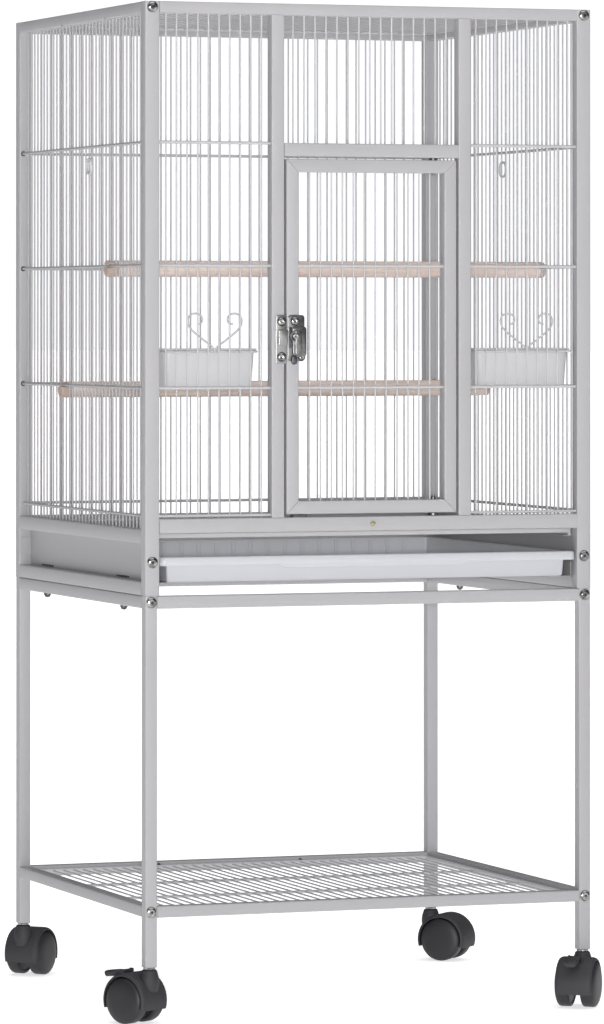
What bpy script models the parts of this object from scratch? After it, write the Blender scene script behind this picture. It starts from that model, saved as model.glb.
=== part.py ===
"""A flight cage on a wheeled stand: wire panels in square tube, a pivoting front door with a turn
latch, two perches, two feeder cups in wire holders, a sliding grate and tray, and four casters.

Sizes are in metres. While a piece is made, x runs right from the cage's left face, y runs back from
its front face and z runs up from the floor. The last step moves the whole cage so that the world's
origin is on the floor, under the middle of everything."""

import math

import bmesh
import bpy
from mathutils import Matrix, Vector

# Overall sizes
WIDTH = 0.635
DEPTH = 0.584
HEIGHT = 1.346
CAGE_FLOOR = 0.563

# Clearances
SEAT = 0.0003
EMBED = 0.003
WIRE_CLEARANCE = 0.0003

# Tube and wire stock
STILE_WIDTH = 0.020
PANEL_DEPTH = 0.018
SIDE_RAIL_DEPTH = 0.018
TOP_RAIL_HEIGHT = 0.0155
POST_WIDTH = 0.018
SILL_RAIL_HEIGHT = 0.016
HEAD_RAIL_HEIGHT = 0.018
SHEET = 0.0012
WIRE = 0.0024
ROD = 0.004
WIRE_SIDES = 4
FRONT_WIRE_SIDES = 6
ROD_SIDES = 6
WIRE_PITCH = 0.01485
DOOR_WIRE_PITCH = 0.0156
WIRE_MARGIN = 0.009
DOOR_WIRE_MARGIN = 0.015
ROD_RISES = {"sill": 0.1045, "lower": 0.273, "upper": 0.435, "head": 0.5975}
WELD = 0.0016
TOP_ROD_COUNT = 2
TOP_ROD = 0.003
TOP_EDGE = 0.008
TOP_EDGE_THICKNESS = 0.005
TOP_EDGE_LIFT = 0.0075

# Door and its pivots
DOOR_LEFT = 0.1974
DOOR_FROM_RIGHT = 0.1948
DOOR_HEIGHT = 0.472
DOOR_TUBE = 0.0175
DOOR_DEPTH = 0.017
DOOR_SIDE_GAP = 0.0028
DOOR_SILL_GAP = 0.004
DOOR_HEAD_GAP = 0.003
PIVOT_FROM_RIGHT = 0.0307
PIVOT_RADIUS = 0.002
PIVOT_BORE_CLEARANCE = 0.0002
PIVOT_DEPTH = 0.010
PIVOT_WASHER_RADIUS = 0.0075
PIVOT_TOP_WASHER_RADIUS = 0.0055
PIVOT_NUT_RADIUS = 0.0033
PIVOT_NUT_HEIGHT = 0.0035
PIVOT_TIP = 0.002
REST_PAD_LENGTH = 0.019
REST_PAD_FROM_LEFT = 0.0066
REST_PAD_DEPTH = 0.012

# Latch: heights are measured from the lever's pivot
LATCH_ABOVE_MIDDLE = 0.001
LATCH_SHEET = 0.0012
KEEPER_WIDTH = 0.0152
KEEPER_DROP = 0.035
KEEPER_RISE = 0.030
HOOK_DROP = 0.013
HOOK_RISE = 0.008
HOOK_WIDTH = 0.013
LATCH_PLATE_INSET = 0.002
LATCH_PLATE_WIDTH = 0.0236
LATCH_PLATE_DROP = 0.032
LATCH_PIVOT_FROM_LEFT = 0.0116
LEVER_THICKNESS = 0.0024
LEVER_GAP = 0.0012
LEVER_HUB_RADIUS = 0.008
LEVER_THUMB = 0.010
LEVER_THUMB_RADIUS = 0.0045
LEVER_TAIL = 0.0324
LEVER_TAIL_RADIUS = 0.004
LEVER_RIVET_RADIUS = 0.002
LEVER_RIVET_HEAD = 0.004

# Grate and tray
SIDE_BOTTOM_RAIL_HEIGHT = 0.018
SIDE_MIDDLE_RAIL_HEIGHT = 0.019
TRAY_SIDE_GAP = 0.001
TRAY_FRONT = 0.0005
TRAY_BACK_GAP = 0.029
TRAY_LIFT = 0.0005
TRAY_HEIGHT = 0.0335
TRAY_LIP = 0.0105
TRAY_LIP_WIDTH = 0.012
TRAY_WALL = 0.002
TRAY_CORNER = 0.016
TRAY_DRAFT = 0.002
RUNNER_THICKNESS = 0.0015
RUNNER_WIDTH = 0.030
RUNNER_HEIGHT = 0.020
RUNNER_END_GAP = 0.006
TAB_FROM_FRONT = 0.146
TAB_FROM_BACK = 0.0995
TAB_LENGTH = 0.052
TAB_LIFT = 0.001
TAB_THICKNESS = 0.0018
LEDGE_WIDTH = 0.0122
LEDGE_ABOVE_RAIL_LOW = 0.0035
GRATE_SIDE_GAP = 0.001
GRATE_FRONT = 0.0205
GRATE_BACK_GAP = 0.006
GRATE_OVER_TRAY = 0.0198
SILL_OVER_GRATE = 0.0042
GRATE_BAR_HEIGHT = 0.006
GRATE_BAR = 0.005
GRATE_SIDE_BAR = 0.004
GRATE_DROP = 0.003
GRATE_ROD = 0.003
GRATE_ROD_COUNT = 3
BOLT_LUG_HEIGHT = 0.024
BOLT_LUG_REACH = 0.015

# Perches: (distance from the front, the side rod it rests on, how far its middle is below that rod)
PERCH_RADIUS = 0.011
PERCH_SIDES = 16
PERCHES = {"perch_upper": (0.169, "upper", 0.003), "perch_lower": (0.375, "lower", 0.006)}
KERF_CLEARANCE = 0.0004

# Feeders: (gap from stile to cup, gap from post to cup, shift of the scroll towards the post)
FEEDERS = {"left": (0.007, 0.0106, 0.0045), "right": (0.004, 0.011, 0.0005)}
CUP_DEPTH = 0.060
CUP_HEIGHT = 0.0505
CUP_TOP_RISE = 0.325
CUP_HOLDER_GAP = 0.0006
CUP_WALL = 0.002
CUP_LIP = 0.003
CUP_LIP_HEIGHT = 0.0023
CUP_CORNER = 0.008
CUP_TAPER = 0.004
HOLDER_WIRE = 0.003
HOLDER_SIDES = 6
CUP_CLEARANCE = 0.0004
SCROLL_LEG = (0.031, 0.0265)
SCROLL_CURL = (0.0265, 0.0405)
SCROLL_CURL_RADIUS = 0.012
SCROLL_CURL_END = 0.0065
SCROLL_TURN = 400
SCROLL_STEPS = 16
CLIP_SPREAD = 0.009
CLIP_INSET = 0.016

# Stand
LEG = 0.0166
LEG_INSET = 0.0005
STAND_RAIL_HEIGHT = 0.0167
SHELF_LOW = 0.140
SHELF_RAIL_HEIGHT = 0.015
SHELF_EDGE = 0.004
SHELF_EDGE_HEIGHT = 0.006
SHELF_ROD_FROM_FRONT = 0.208
SHELF_ROD_FROM_BACK = 0.199

# Fasteners
BOLT_RADIUS = 0.003
BOLT_CLEARANCE = 0.0004
BOLT_HEAD_RADIUS = 0.006
BOLT_FACE_RADIUS = 0.0037
BOLT_HEAD = 0.0027
BOLT_HEAD_EDGE = 0.00095
BOLT_REACH = 0.030
LUG_BOLT_RISE = 0.044
RAIL_SCREW_OFF_MIDDLE = 0.0025
RAIL_SCREW_RADIUS = 0.002
RAIL_SCREW_HEAD = 0.0035
RAIL_SCREW_DEPTH = 0.008
STAND_SCREW_FROM_FRONT = 0.117
STAND_SCREW_FROM_BACK = 0.124
STAND_SCREW_RADIUS = 0.0025
STAND_SCREW_GRIP = 0.010
STAND_NUT_RADIUS = 0.005
STAND_NUT_HEIGHT = 0.0065
STAND_NUT_HEX = 0.0029
STAND_NUT_SHOULDER = (0.00425, 0.00455)
STAND_NUT_CROWN = 0.002
ROUND_SIDES = 12

# Casters: heading is the direction from the stem to the axle, in degrees from +x towards +y
CASTERS = {
    "front_left": (0, 0, 120),
    "front_right": (1, 0, -126),
    "back_left": (0, 1, 46),
    "back_right": (1, 1, -45),
}
BRAKED = ("front_left", "front_right")
WHEEL_RADIUS = 0.0305
WHEEL_SIDES = 20
WHEEL_HALF_WIDTH = 0.0295
WHEEL_WEB_GAP = 0.0008
WHEEL_CHAMFER = 0.0025
WHEEL_CHAMFER_DEPTH = 0.0022
WHEEL_DISH = ((0.0, 0.017), (0.0018, 0.0056), (0.005, 0.0012))
WHEEL_SHOULDER = 0.008
AXLE_RADIUS = 0.004
AXLE_CLEARANCE = 0.0003
TRAIL = 0.025
FENDER_CLEARANCE = 0.0017
FENDER_THICKNESS = 0.0043
FENDER_HALF_WIDTH = 0.025
FENDER_SHOULDER = 0.006
FENDER_DROOP = 18
FENDER_STEPS = 14
WEB_HALF_WIDTH = 0.0072
WEB_HUB = 0.009
BOSS_RADIUS = 0.0095
BOSS_RISE = 0.0047
STEM_RADIUS = 0.004
STEM_REACH = 0.0197
STEM_FLANGE = 0.0027
STEM_FLANGE_RADIUS = 0.008
PLUG_RADIUS = 0.005
PLUG_LENGTH = 0.022
PEDAL_PAST_AXLE = 0.015
PEDAL_RISE = 0.0002
PEDAL_LENGTH = 0.036
PEDAL_HALF_WIDTH = 0.008
PEDAL_THICKNESS = 0.003
PEDAL_PIN_RADIUS = 0.0016
PEDAL_LUG = 0.0035
PEDAL_LUG_THICKNESS = 0.0025

# Sizes that follow from the ones above: depths of the panels
PANEL_MIDDLE = PANEL_DEPTH / 2
ROD_INSET = PANEL_MIDDLE - WIRE / 2 - WIRE_CLEARANCE - ROD / 2
SIDE_FRONT = PANEL_DEPTH + SEAT
SIDE_BACK = DEPTH - PANEL_DEPTH - SEAT
PLATE_X = SIDE_RAIL_DEPTH - SHEET

# From the stand up: tray, grate, sill, door, head
STAND_TOP = CAGE_FLOOR - SEAT
STAND_RAIL_LOW = STAND_TOP - STAND_RAIL_HEIGHT
SIDE_BOTTOM_RAIL_TOP = CAGE_FLOOR + SIDE_BOTTOM_RAIL_HEIGHT
TRAY_BOTTOM = SIDE_BOTTOM_RAIL_TOP + TRAY_LIFT
TRAY_TOP = TRAY_BOTTOM + TRAY_HEIGHT
TRAY_LENGTH = DEPTH - PANEL_DEPTH - TRAY_BACK_GAP - TRAY_FRONT
GRATE_LOW = TRAY_TOP + GRATE_OVER_TRAY
GRATE_TOP = GRATE_LOW + GRATE_DROP + GRATE_BAR_HEIGHT
GRATE_LENGTH = DEPTH - PANEL_DEPTH - GRATE_BACK_GAP - GRATE_FRONT
LEDGE_TOP = GRATE_LOW - SEAT
SIDE_MIDDLE_RAIL_LOW = LEDGE_TOP - LEDGE_ABOVE_RAIL_LOW
SIDE_MIDDLE_RAIL_TOP = SIDE_MIDDLE_RAIL_LOW + SIDE_MIDDLE_RAIL_HEIGHT
SILL_LOW = GRATE_TOP + SILL_OVER_GRATE
SILL_TOP = SILL_LOW + SILL_RAIL_HEIGHT
DOOR_BOTTOM = SILL_TOP + DOOR_SILL_GAP
DOOR_TOP = DOOR_BOTTOM + DOOR_HEIGHT
HEAD_LOW = DOOR_TOP + DOOR_HEAD_GAP
HEAD_TOP = HEAD_LOW + HEAD_RAIL_HEIGHT
TOP_RAIL_LOW = HEIGHT - TOP_RAIL_HEIGHT
TOP_BOLT_HEIGHT = HEIGHT - TOP_RAIL_HEIGHT / 2
LUG_BOLT_HEIGHT = CAGE_FLOOR + LUG_BOLT_RISE
ROD_HEIGHTS = {name: CAGE_FLOOR + rise for name, rise in ROD_RISES.items()}
DOOR_ROD_HEIGHTS = (ROD_HEIGHTS["lower"], ROD_HEIGHTS["upper"])

# Across the front: post, door, post
DOOR_RIGHT = WIDTH - DOOR_FROM_RIGHT
LEFT_POST = (DOOR_LEFT - DOOR_SIDE_GAP - POST_WIDTH, DOOR_LEFT - DOOR_SIDE_GAP)
RIGHT_POST = (DOOR_RIGHT + DOOR_SIDE_GAP, DOOR_RIGHT + DOOR_SIDE_GAP + POST_WIDTH)
DOOR_FRONT = PANEL_MIDDLE - DOOR_DEPTH / 2
PIVOT_X = DOOR_RIGHT - PIVOT_FROM_RIGHT
PIVOT_BORE = PIVOT_RADIUS / math.cos(math.pi / ROUND_SIDES) + PIVOT_BORE_CLEARANCE
LATCH_PIVOT_X = DOOR_LEFT + LATCH_PIVOT_FROM_LEFT
LATCH_HEIGHT = (DOOR_BOTTOM + DOOR_TOP) / 2 + LATCH_ABOVE_MIDDLE
LEVER_BACK = DOOR_FRONT - SEAT - LATCH_SHEET - LEVER_GAP
LEVER_FRONT = LEVER_BACK - LEVER_THICKNESS

# Places of tabs, rods, bolts and legs
TAB_CENTRES = (TAB_FROM_FRONT, DEPTH - TAB_FROM_BACK)
SHELF_RODS = (SHELF_ROD_FROM_FRONT, DEPTH - SHELF_ROD_FROM_BACK)
STAND_SCREWS = (STAND_SCREW_FROM_FRONT, DEPTH - STAND_SCREW_FROM_BACK)
RAIL_SCREW_X = WIDTH / 2 + RAIL_SCREW_OFF_MIDDLE
BOLT_HOLE = BOLT_RADIUS + BOLT_CLEARANCE
STILE_BOLT_X = STILE_WIDTH / 2
LEG_MIDDLE = LEG_INSET + LEG / 2
LEG_BACK = LEG_INSET + LEG

# Feeder cups and their holders
CUP_TOP = CAGE_FLOOR + CUP_TOP_RISE
CUP_BOTTOM = CUP_TOP - CUP_HEIGHT
HOLDER_Z = CUP_TOP - CUP_LIP_HEIGHT - SEAT - HOLDER_WIRE / 2
HOLDER_Y = PANEL_MIDDLE + WIRE / 2 + WIRE_CLEARANCE + HOLDER_WIRE / 2
CUP_FRONT = HOLDER_Y + HOLDER_WIRE / 2 + CUP_HOLDER_GAP

# Casters
WHEEL_INNER = WEB_HALF_WIDTH + WHEEL_WEB_GAP
FENDER_INNER = WHEEL_RADIUS + FENDER_CLEARANCE
FENDER_OUTER = FENDER_INNER + FENDER_THICKNESS
BOSS_TOP = WHEEL_RADIUS + FENDER_OUTER + BOSS_RISE
STEM_LOW = BOSS_TOP - STEM_REACH
LEG_BOTTOM = BOSS_TOP + STEM_FLANGE + 2 * SEAT
PEDAL_PIVOT = (TRAIL + PEDAL_PAST_AXLE, WHEEL_RADIUS + FENDER_OUTER + PEDAL_RISE)


def clear_scene():
    for obj in list(bpy.data.objects):
        bpy.data.objects.remove(obj, do_unlink=True)


# Materials

def make_material(name, colour, roughness, metallic=0.0):
    material = bpy.data.materials.new(name)
    material.use_nodes = True
    shader = material.node_tree.nodes["Principled BSDF"]
    shader.inputs["Base Color"].default_value = (*colour, 1.0)
    shader.inputs["Roughness"].default_value = roughness
    shader.inputs["Metallic"].default_value = metallic
    material.diffuse_color = (*colour, 1.0)
    return material


def make_materials():
    return {
        "coated": make_material("grey_powder_coat", (0.52, 0.52, 0.53), 0.45),
        "plated": make_material("plated_steel", (0.72, 0.72, 0.70), 0.25, 1.0),
        "wood": make_material("pale_wood", (0.66, 0.52, 0.38), 0.6),
        "cup": make_material("white_plastic", (0.80, 0.81, 0.83), 0.35),
        "tray": make_material("tray_plastic", (0.78, 0.80, 0.84), 0.4),
        "black": make_material("black_plastic", (0.045, 0.045, 0.05), 0.5),
        "wheel": make_material("wheel_plastic", (0.05, 0.05, 0.055), 0.55),
    }


# Closed shells, gathered in a bmesh

def loft(shell, rings, closed=False):
    """Skins rings that have the same number of points. The two ends are capped, or joined if closed."""
    rows = [[shell.verts.new(point) for point in ring] for ring in rings]
    pairs = list(zip(rows, rows[1:]))
    if closed:
        pairs.append((rows[-1], rows[0]))
    for low, high in pairs:
        for i in range(len(low)):
            j = (i + 1) % len(low)
            shell.faces.new((low[i], low[j], high[j], high[i]))
    if not closed:
        shell.faces.new(rows[0])
        shell.faces.new(rows[-1])
    return shell


def box(shell, low, high):
    corners = ((low[0], low[1]), (high[0], low[1]), (high[0], high[1]), (low[0], high[1]))
    return loft(shell, [[(x, y, z) for x, y in corners] for z in (low[2], high[2])])


def circle(radius, sides, turn=0.0):
    step = 2 * math.pi / sides
    return [(radius * math.cos(turn + step * i), radius * math.sin(turn + step * i)) for i in range(sides)]


AXES = {
    "x": lambda along, a, b: (along, a, b),
    "y": lambda along, a, b: (b, along, a),
    "z": lambda along, a, b: (a, b, along),
}


def turned(shell, axis, centre, profile, sides, turn=0.0):
    """A turned piece: profile is a list of (distance along the axis, radius), with no zero radius."""
    origin = Vector(centre)
    rings = []
    for along, radius in profile:
        rings.append([origin + Vector(AXES[axis](along, a, b)) for a, b in circle(radius, sides, turn)])
    return loft(shell, rings)


def bar(shell, axis, centre, low, high, diameter, sides):
    """A straight wire or rod along one axis, from low to high, measured from the world's zero."""
    place = list(centre)
    place["xyz".index(axis)] = 0.0
    return turned(shell, axis, place, [(low, diameter / 2), (high, diameter / 2)], sides)


def cells(shell, across, up, depth, filled, place):
    """A flat frame: the filled cells of a grid, as one solid from depth[0] to depth[1]."""
    corners = {}

    def corner(i, j, k):
        if (i, j, k) not in corners:
            corners[i, j, k] = shell.verts.new(place(across[i], up[j], depth[k]))
        return corners[i, j, k]

    kept = {(i, j) for i in range(len(across) - 1) for j in range(len(up) - 1) if filled(i, j)}
    for i, j in sorted(kept):
        for k in (0, 1):
            around = ((i, j), (i + 1, j), (i + 1, j + 1), (i, j + 1))
            shell.faces.new([corner(*place_of, k) for place_of in around])
        sides = {
            (i - 1, j): ((i, j), (i, j + 1)),
            (i + 1, j): ((i + 1, j), (i + 1, j + 1)),
            (i, j - 1): ((i, j), (i + 1, j)),
            (i, j + 1): ((i, j + 1), (i + 1, j + 1)),
        }
        for neighbour, (start, end) in sides.items():
            if neighbour not in kept:
                shell.faces.new((corner(*start, 0), corner(*end, 0), corner(*end, 1), corner(*start, 1)))
    return shell


def facing_front(across, up, depth):
    return (across, depth, up)


def facing_up(across, up, depth):
    return (across, up, depth)


def ring_frame(shell, across, up, bars, depth, place):
    """A rectangular frame: bars is the width of its upright and its level members."""
    columns = (across[0], across[0] + bars[0], across[1] - bars[0], across[1])
    rows = (up[0], up[0] + bars[1], up[1] - bars[1], up[1])
    return cells(shell, columns, rows, depth, lambda i, j: i != 1 or j != 1, place)


def rounded_rectangle(low, high, radius, steps=3):
    """Points round a rectangle in plan, with an arc of `steps` segments at each corner."""
    centres = (
        (high[0] - radius, high[1] - radius, 0),
        (low[0] + radius, high[1] - radius, 90),
        (low[0] + radius, low[1] + radius, 180),
        (high[0] - radius, low[1] + radius, 270),
    )
    points = []
    for x, y, start in centres:
        for step in range(steps + 1):
            angle = math.radians(start + 90 * step / steps)
            points.append((x + radius * math.cos(angle), y + radius * math.sin(angle)))
    return points


def tube(shell, path, diameter, sides, normal, closed=False):
    """A round wire swept along a path that lies in the plane of the given normal."""
    rings = []
    count = len(path)
    for i, point in enumerate(path):
        before = path[i - 1] if closed or i else path[i]
        after = path[(i + 1) % count] if closed or i < count - 1 else path[i]
        tangent = (after - before).normalized()
        aside = tangent.cross(normal).normalized()
        rings.append([point + aside * a + normal * b for a, b in circle(diameter / 2, sides)])
    return loft(shell, rings, closed)


def hull_prism(shell, discs, low, high, sides=ROUND_SIDES):
    """A flat plate between y = low and y = high, whose outline wraps round discs of (x, z, radius)."""
    piece = bmesh.new()
    for x, z, radius in discs:
        for a, b in circle(radius, sides):
            for y in (low, high):
                piece.verts.new((x + a, y, z + b))
    bmesh.ops.convex_hull(piece, input=piece.verts)
    loose = [vertex for vertex in piece.verts if not vertex.link_faces]
    bmesh.ops.delete(piece, geom=loose, context="VERTS")
    join(shell, piece)
    return shell


def join(shell, other):
    """Copies the other bmesh's faces into this one, and frees the other."""
    made = {vertex: shell.verts.new(vertex.co) for vertex in other.verts}
    for face in other.faces:
        shell.faces.new([made[vertex] for vertex in face.verts])
    other.free()


def spread(low, high, pitch, margin):
    """Places at an even pitch, centred between low and high and at least a margin from both."""
    count = int((high - low - 2 * margin) / pitch) + 1
    first = (low + high - (count - 1) * pitch) / 2
    return [first + i * pitch for i in range(count)]


# Objects

def mesh_of(shell, name):
    bmesh.ops.recalc_face_normals(shell, faces=shell.faces)
    mesh = bpy.data.meshes.new(name)
    shell.to_mesh(mesh)
    shell.free()
    return mesh


def add_object(name, mesh):
    obj = bpy.data.objects.new(name, mesh)
    bpy.context.scene.collection.objects.link(obj)
    return obj


def build(name, shell, material, added=(), cut=()):
    """One solid object: the first shell, joined with the added shells, less the cut shells."""
    obj = add_object(name, mesh_of(shell, name))
    obj.data.materials.append(material)
    tools = []
    for operation, shells in (("UNION", added), ("DIFFERENCE", cut)):
        for i, other in enumerate(shells):
            tool = add_object(f"{name}_{operation.lower()}_{i}", mesh_of(other, f"{name}_{i}"))
            modifier = obj.modifiers.new(tool.name, "BOOLEAN")
            modifier.operation = operation
            modifier.solver = "EXACT"
            modifier.object = tool
            tools.append(tool)
    if tools:
        apply_modifiers(obj)
        for tool in tools:
            bpy.data.objects.remove(tool, do_unlink=True)
    obj.data.shade_smooth()
    obj.data.set_sharp_from_angle(angle=math.radians(35))
    return obj


def apply_modifiers(obj):
    bpy.context.view_layer.update()
    evaluated = obj.evaluated_get(bpy.context.evaluated_depsgraph_get())
    made = bpy.data.meshes.new_from_object(evaluated)
    obj.modifiers.clear()
    obj.data = made


def set_origin(obj, point):
    """Moves the object's origin without moving the object."""
    obj.data.transform(Matrix.Translation(-Vector(point)))
    obj.location = point


def attach(child, parent):
    """Parents the child and leaves it where it is."""
    bpy.context.view_layer.update()
    child.parent = parent
    child.matrix_parent_inverse = parent.matrix_world.inverted()


def mirrored(shell):
    """The same shell on the cage's other side."""
    for vertex in shell.verts:
        vertex.co.x = WIDTH - vertex.co.x
    return shell


def on_side(shell, side):
    return mirrored(shell) if side == "right" else shell


# Wire panels

def panel_wires(shell, places, y, low, high, sides):
    for x in places:
        bar(shell, "z", (x, y, 0), low - EMBED, high + EMBED, WIRE, sides)
    return shell


def panel_rods(shell, y, spans, heights):
    for low, high in spans:
        for z in heights:
            bar(shell, "x", (0, y, z), low - EMBED, high + EMBED, ROD, ROD_SIDES)
    return shell


def bolt_holes(shell, places, low, high):
    for x, z in places:
        bar(shell, "y", (x, 0, z), low, high, 2 * BOLT_HOLE, ROUND_SIDES)
    return shell


def make_front_panel(material):
    across = (0.0, STILE_WIDTH, *LEFT_POST, *RIGHT_POST, WIDTH - STILE_WIDTH, WIDTH)
    up = (CAGE_FLOOR, SILL_LOW, SILL_TOP, HEAD_LOW, HEAD_TOP, TOP_RAIL_LOW, HEIGHT)

    def filled(i, j):
        stile = i in (0, 6)
        rail = j in (1, 5)
        post = i in (2, 4) and j > 0
        return stile or rail or post or (i, j) == (3, 3)

    frame = cells(bmesh.new(), across, up, (0.0, PANEL_DEPTH), filled, facing_front)
    sections = ((STILE_WIDTH, LEFT_POST[0]), (RIGHT_POST[1], WIDTH - STILE_WIDTH))
    wires = bmesh.new()
    for low, high in sections:
        places = spread(low, high, WIRE_PITCH, WIRE_MARGIN)
        panel_wires(wires, places, PANEL_MIDDLE, SILL_TOP, TOP_RAIL_LOW, FRONT_WIRE_SIDES)
    over_door = spread(LEFT_POST[1], RIGHT_POST[0], DOOR_WIRE_PITCH, WIRE_MARGIN)
    panel_wires(wires, over_door, PANEL_MIDDLE, HEAD_TOP, TOP_RAIL_LOW, FRONT_WIRE_SIDES)
    rods = panel_rods(bmesh.new(), ROD_INSET, sections, ROD_HEIGHTS.values())
    pad_left = DOOR_LEFT + REST_PAD_FROM_LEFT
    pad_front = PANEL_MIDDLE - REST_PAD_DEPTH / 2
    pad = box(
        bmesh.new(),
        (pad_left, pad_front, SILL_TOP - EMBED),
        (pad_left + REST_PAD_LENGTH, pad_front + REST_PAD_DEPTH, DOOR_BOTTOM - SEAT),
    )
    holes = bolt_holes(bmesh.new(), stile_bolt_places(), -0.01, PANEL_DEPTH + 0.01)
    bores = bmesh.new()
    pivot = (PIVOT_X, PANEL_MIDDLE, 0)
    bar(bores, "z", pivot, SILL_TOP - PIVOT_DEPTH, SILL_TOP + EMBED, 2 * PIVOT_BORE, ROUND_SIDES)
    bar(bores, "z", pivot, HEAD_LOW - EMBED, HEAD_LOW + PIVOT_DEPTH, 2 * PIVOT_BORE, ROUND_SIDES)
    hole = 2 * (RAIL_SCREW_RADIUS + BOLT_CLEARANCE)
    bar(bores, "y", rail_screw_place(), -EMBED, RAIL_SCREW_DEPTH + SEAT, hole, ROUND_SIDES)
    return build("front_panel", frame, material, (wires, rods, pad), (holes, bores))


def stile_bolt_places():
    return [(x, z) for x in (STILE_BOLT_X, WIDTH - STILE_BOLT_X) for z in (TOP_BOLT_HEIGHT, LUG_BOLT_HEIGHT)]


def rail_screw_place():
    return (RAIL_SCREW_X, 0, (SILL_LOW + SILL_TOP) / 2)


def make_back_panel(material):
    across = (0.0, STILE_WIDTH, WIDTH - STILE_WIDTH, WIDTH)
    up = (
        CAGE_FLOOR,
        SIDE_BOTTOM_RAIL_TOP,
        SIDE_MIDDLE_RAIL_LOW,
        SIDE_MIDDLE_RAIL_TOP,
        TOP_RAIL_LOW,
        HEIGHT,
    )
    depth = (DEPTH - PANEL_DEPTH, DEPTH)
    frame = cells(bmesh.new(), across, up, depth, lambda i, j: i != 1 or j in (0, 2, 4), facing_front)
    low, high = STILE_WIDTH, WIDTH - STILE_WIDTH
    places = spread(low, high, WIRE_PITCH, WIRE_MARGIN)
    wires = panel_wires(
        bmesh.new(), places, DEPTH - PANEL_MIDDLE, SIDE_MIDDLE_RAIL_TOP, TOP_RAIL_LOW, WIRE_SIDES
    )
    rods = panel_rods(bmesh.new(), DEPTH - ROD_INSET, [(low, high)], ROD_HEIGHTS.values())
    plate_y = DEPTH - PANEL_DEPTH + SEAT
    plate = box(
        bmesh.new(),
        (low - EMBED, plate_y, SIDE_BOTTOM_RAIL_TOP - EMBED),
        (high + EMBED, plate_y + SHEET, SIDE_MIDDLE_RAIL_LOW + EMBED),
    )
    return build("back_panel", frame, material, (wires, rods, plate))


def side_wire_places():
    return spread(PANEL_DEPTH, DEPTH - PANEL_DEPTH, WIRE_PITCH, WIRE_MARGIN)


def make_side_panel(side, material):
    rails = bmesh.new()
    for low, high in (
        (CAGE_FLOOR, SIDE_BOTTOM_RAIL_TOP),
        (SIDE_MIDDLE_RAIL_LOW, SIDE_MIDDLE_RAIL_TOP),
        (TOP_RAIL_LOW, HEIGHT),
    ):
        box(rails, (0.0, SIDE_FRONT, low), (SIDE_RAIL_DEPTH, SIDE_BACK, high))
    places = side_wire_places()
    wires = bmesh.new()
    for y in places:
        low, high = SIDE_MIDDLE_RAIL_TOP - EMBED, TOP_RAIL_LOW + EMBED
        bar(wires, "z", (PANEL_MIDDLE, y, 0), low, high, WIRE, WIRE_SIDES)
    rods = bmesh.new()
    welds = bmesh.new()
    half = WELD / 2
    for z in ROD_HEIGHTS.values():
        bar(rods, "y", (ROD_INSET, 0, z), SIDE_FRONT + SEAT, SIDE_BACK - SEAT, ROD, ROD_SIDES)
        for y in (places[0], places[-1]):
            box(welds, (ROD_INSET, y - half, z - half), (PANEL_MIDDLE, y + half, z + half))
    plate = box(
        bmesh.new(),
        (PLATE_X, SIDE_FRONT + SEAT, SIDE_BOTTOM_RAIL_TOP - EMBED),
        (SIDE_RAIL_DEPTH - SEAT / 3, SIDE_BACK - SEAT, SIDE_MIDDLE_RAIL_LOW + EMBED),
    )
    ledge = box(
        bmesh.new(),
        (PLATE_X + SEAT, SIDE_FRONT + RUNNER_END_GAP, LEDGE_TOP - SHEET),
        (SIDE_RAIL_DEPTH + LEDGE_WIDTH, SIDE_BACK - RUNNER_END_GAP, LEDGE_TOP),
    )
    lugs = bmesh.new()
    lug_low = LUG_BOLT_HEIGHT - BOLT_LUG_HEIGHT / 2
    for y in (SIDE_FRONT + 2 * SEAT, SIDE_BACK - 2 * SEAT - SHEET):
        box(
            lugs,
            (PLATE_X + SEAT - BOLT_LUG_REACH, y, lug_low),
            (PLATE_X + SEAT, y + SHEET, lug_low + BOLT_LUG_HEIGHT),
        )
    slots = bmesh.new()
    slot_low = SIDE_BOTTOM_RAIL_TOP + TAB_LIFT - SEAT
    for y in TAB_CENTRES:
        reach = TAB_LENGTH / 2 + SEAT
        box(
            slots,
            (PLATE_X - EMBED, y - reach, slot_low),
            (SIDE_RAIL_DEPTH + EMBED, y + reach, slot_low + TAB_THICKNESS + 2 * SEAT),
        )
    bores = bmesh.new()
    for z in (TOP_BOLT_HEIGHT, LUG_BOLT_HEIGHT):
        bar(bores, "y", (STILE_BOLT_X, 0, z), 0, BOLT_REACH + SEAT, 2 * BOLT_HOLE, ROUND_SIDES)
    screw_bore = 2 * (STAND_SCREW_RADIUS + BOLT_CLEARANCE)
    for y in STAND_SCREWS:
        top = CAGE_FLOOR + STAND_SCREW_GRIP
        bar(bores, "z", (LEG_MIDDLE, y, 0), CAGE_FLOOR - EMBED, top, screw_bore, ROUND_SIDES)
    added = [on_side(shell, side) for shell in (wires, rods, welds, plate, ledge, lugs)]
    cut = [on_side(shell, side) for shell in (slots, bores)]
    return build(f"side_panel_{side}", on_side(rails, side), material, added, cut)


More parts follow.
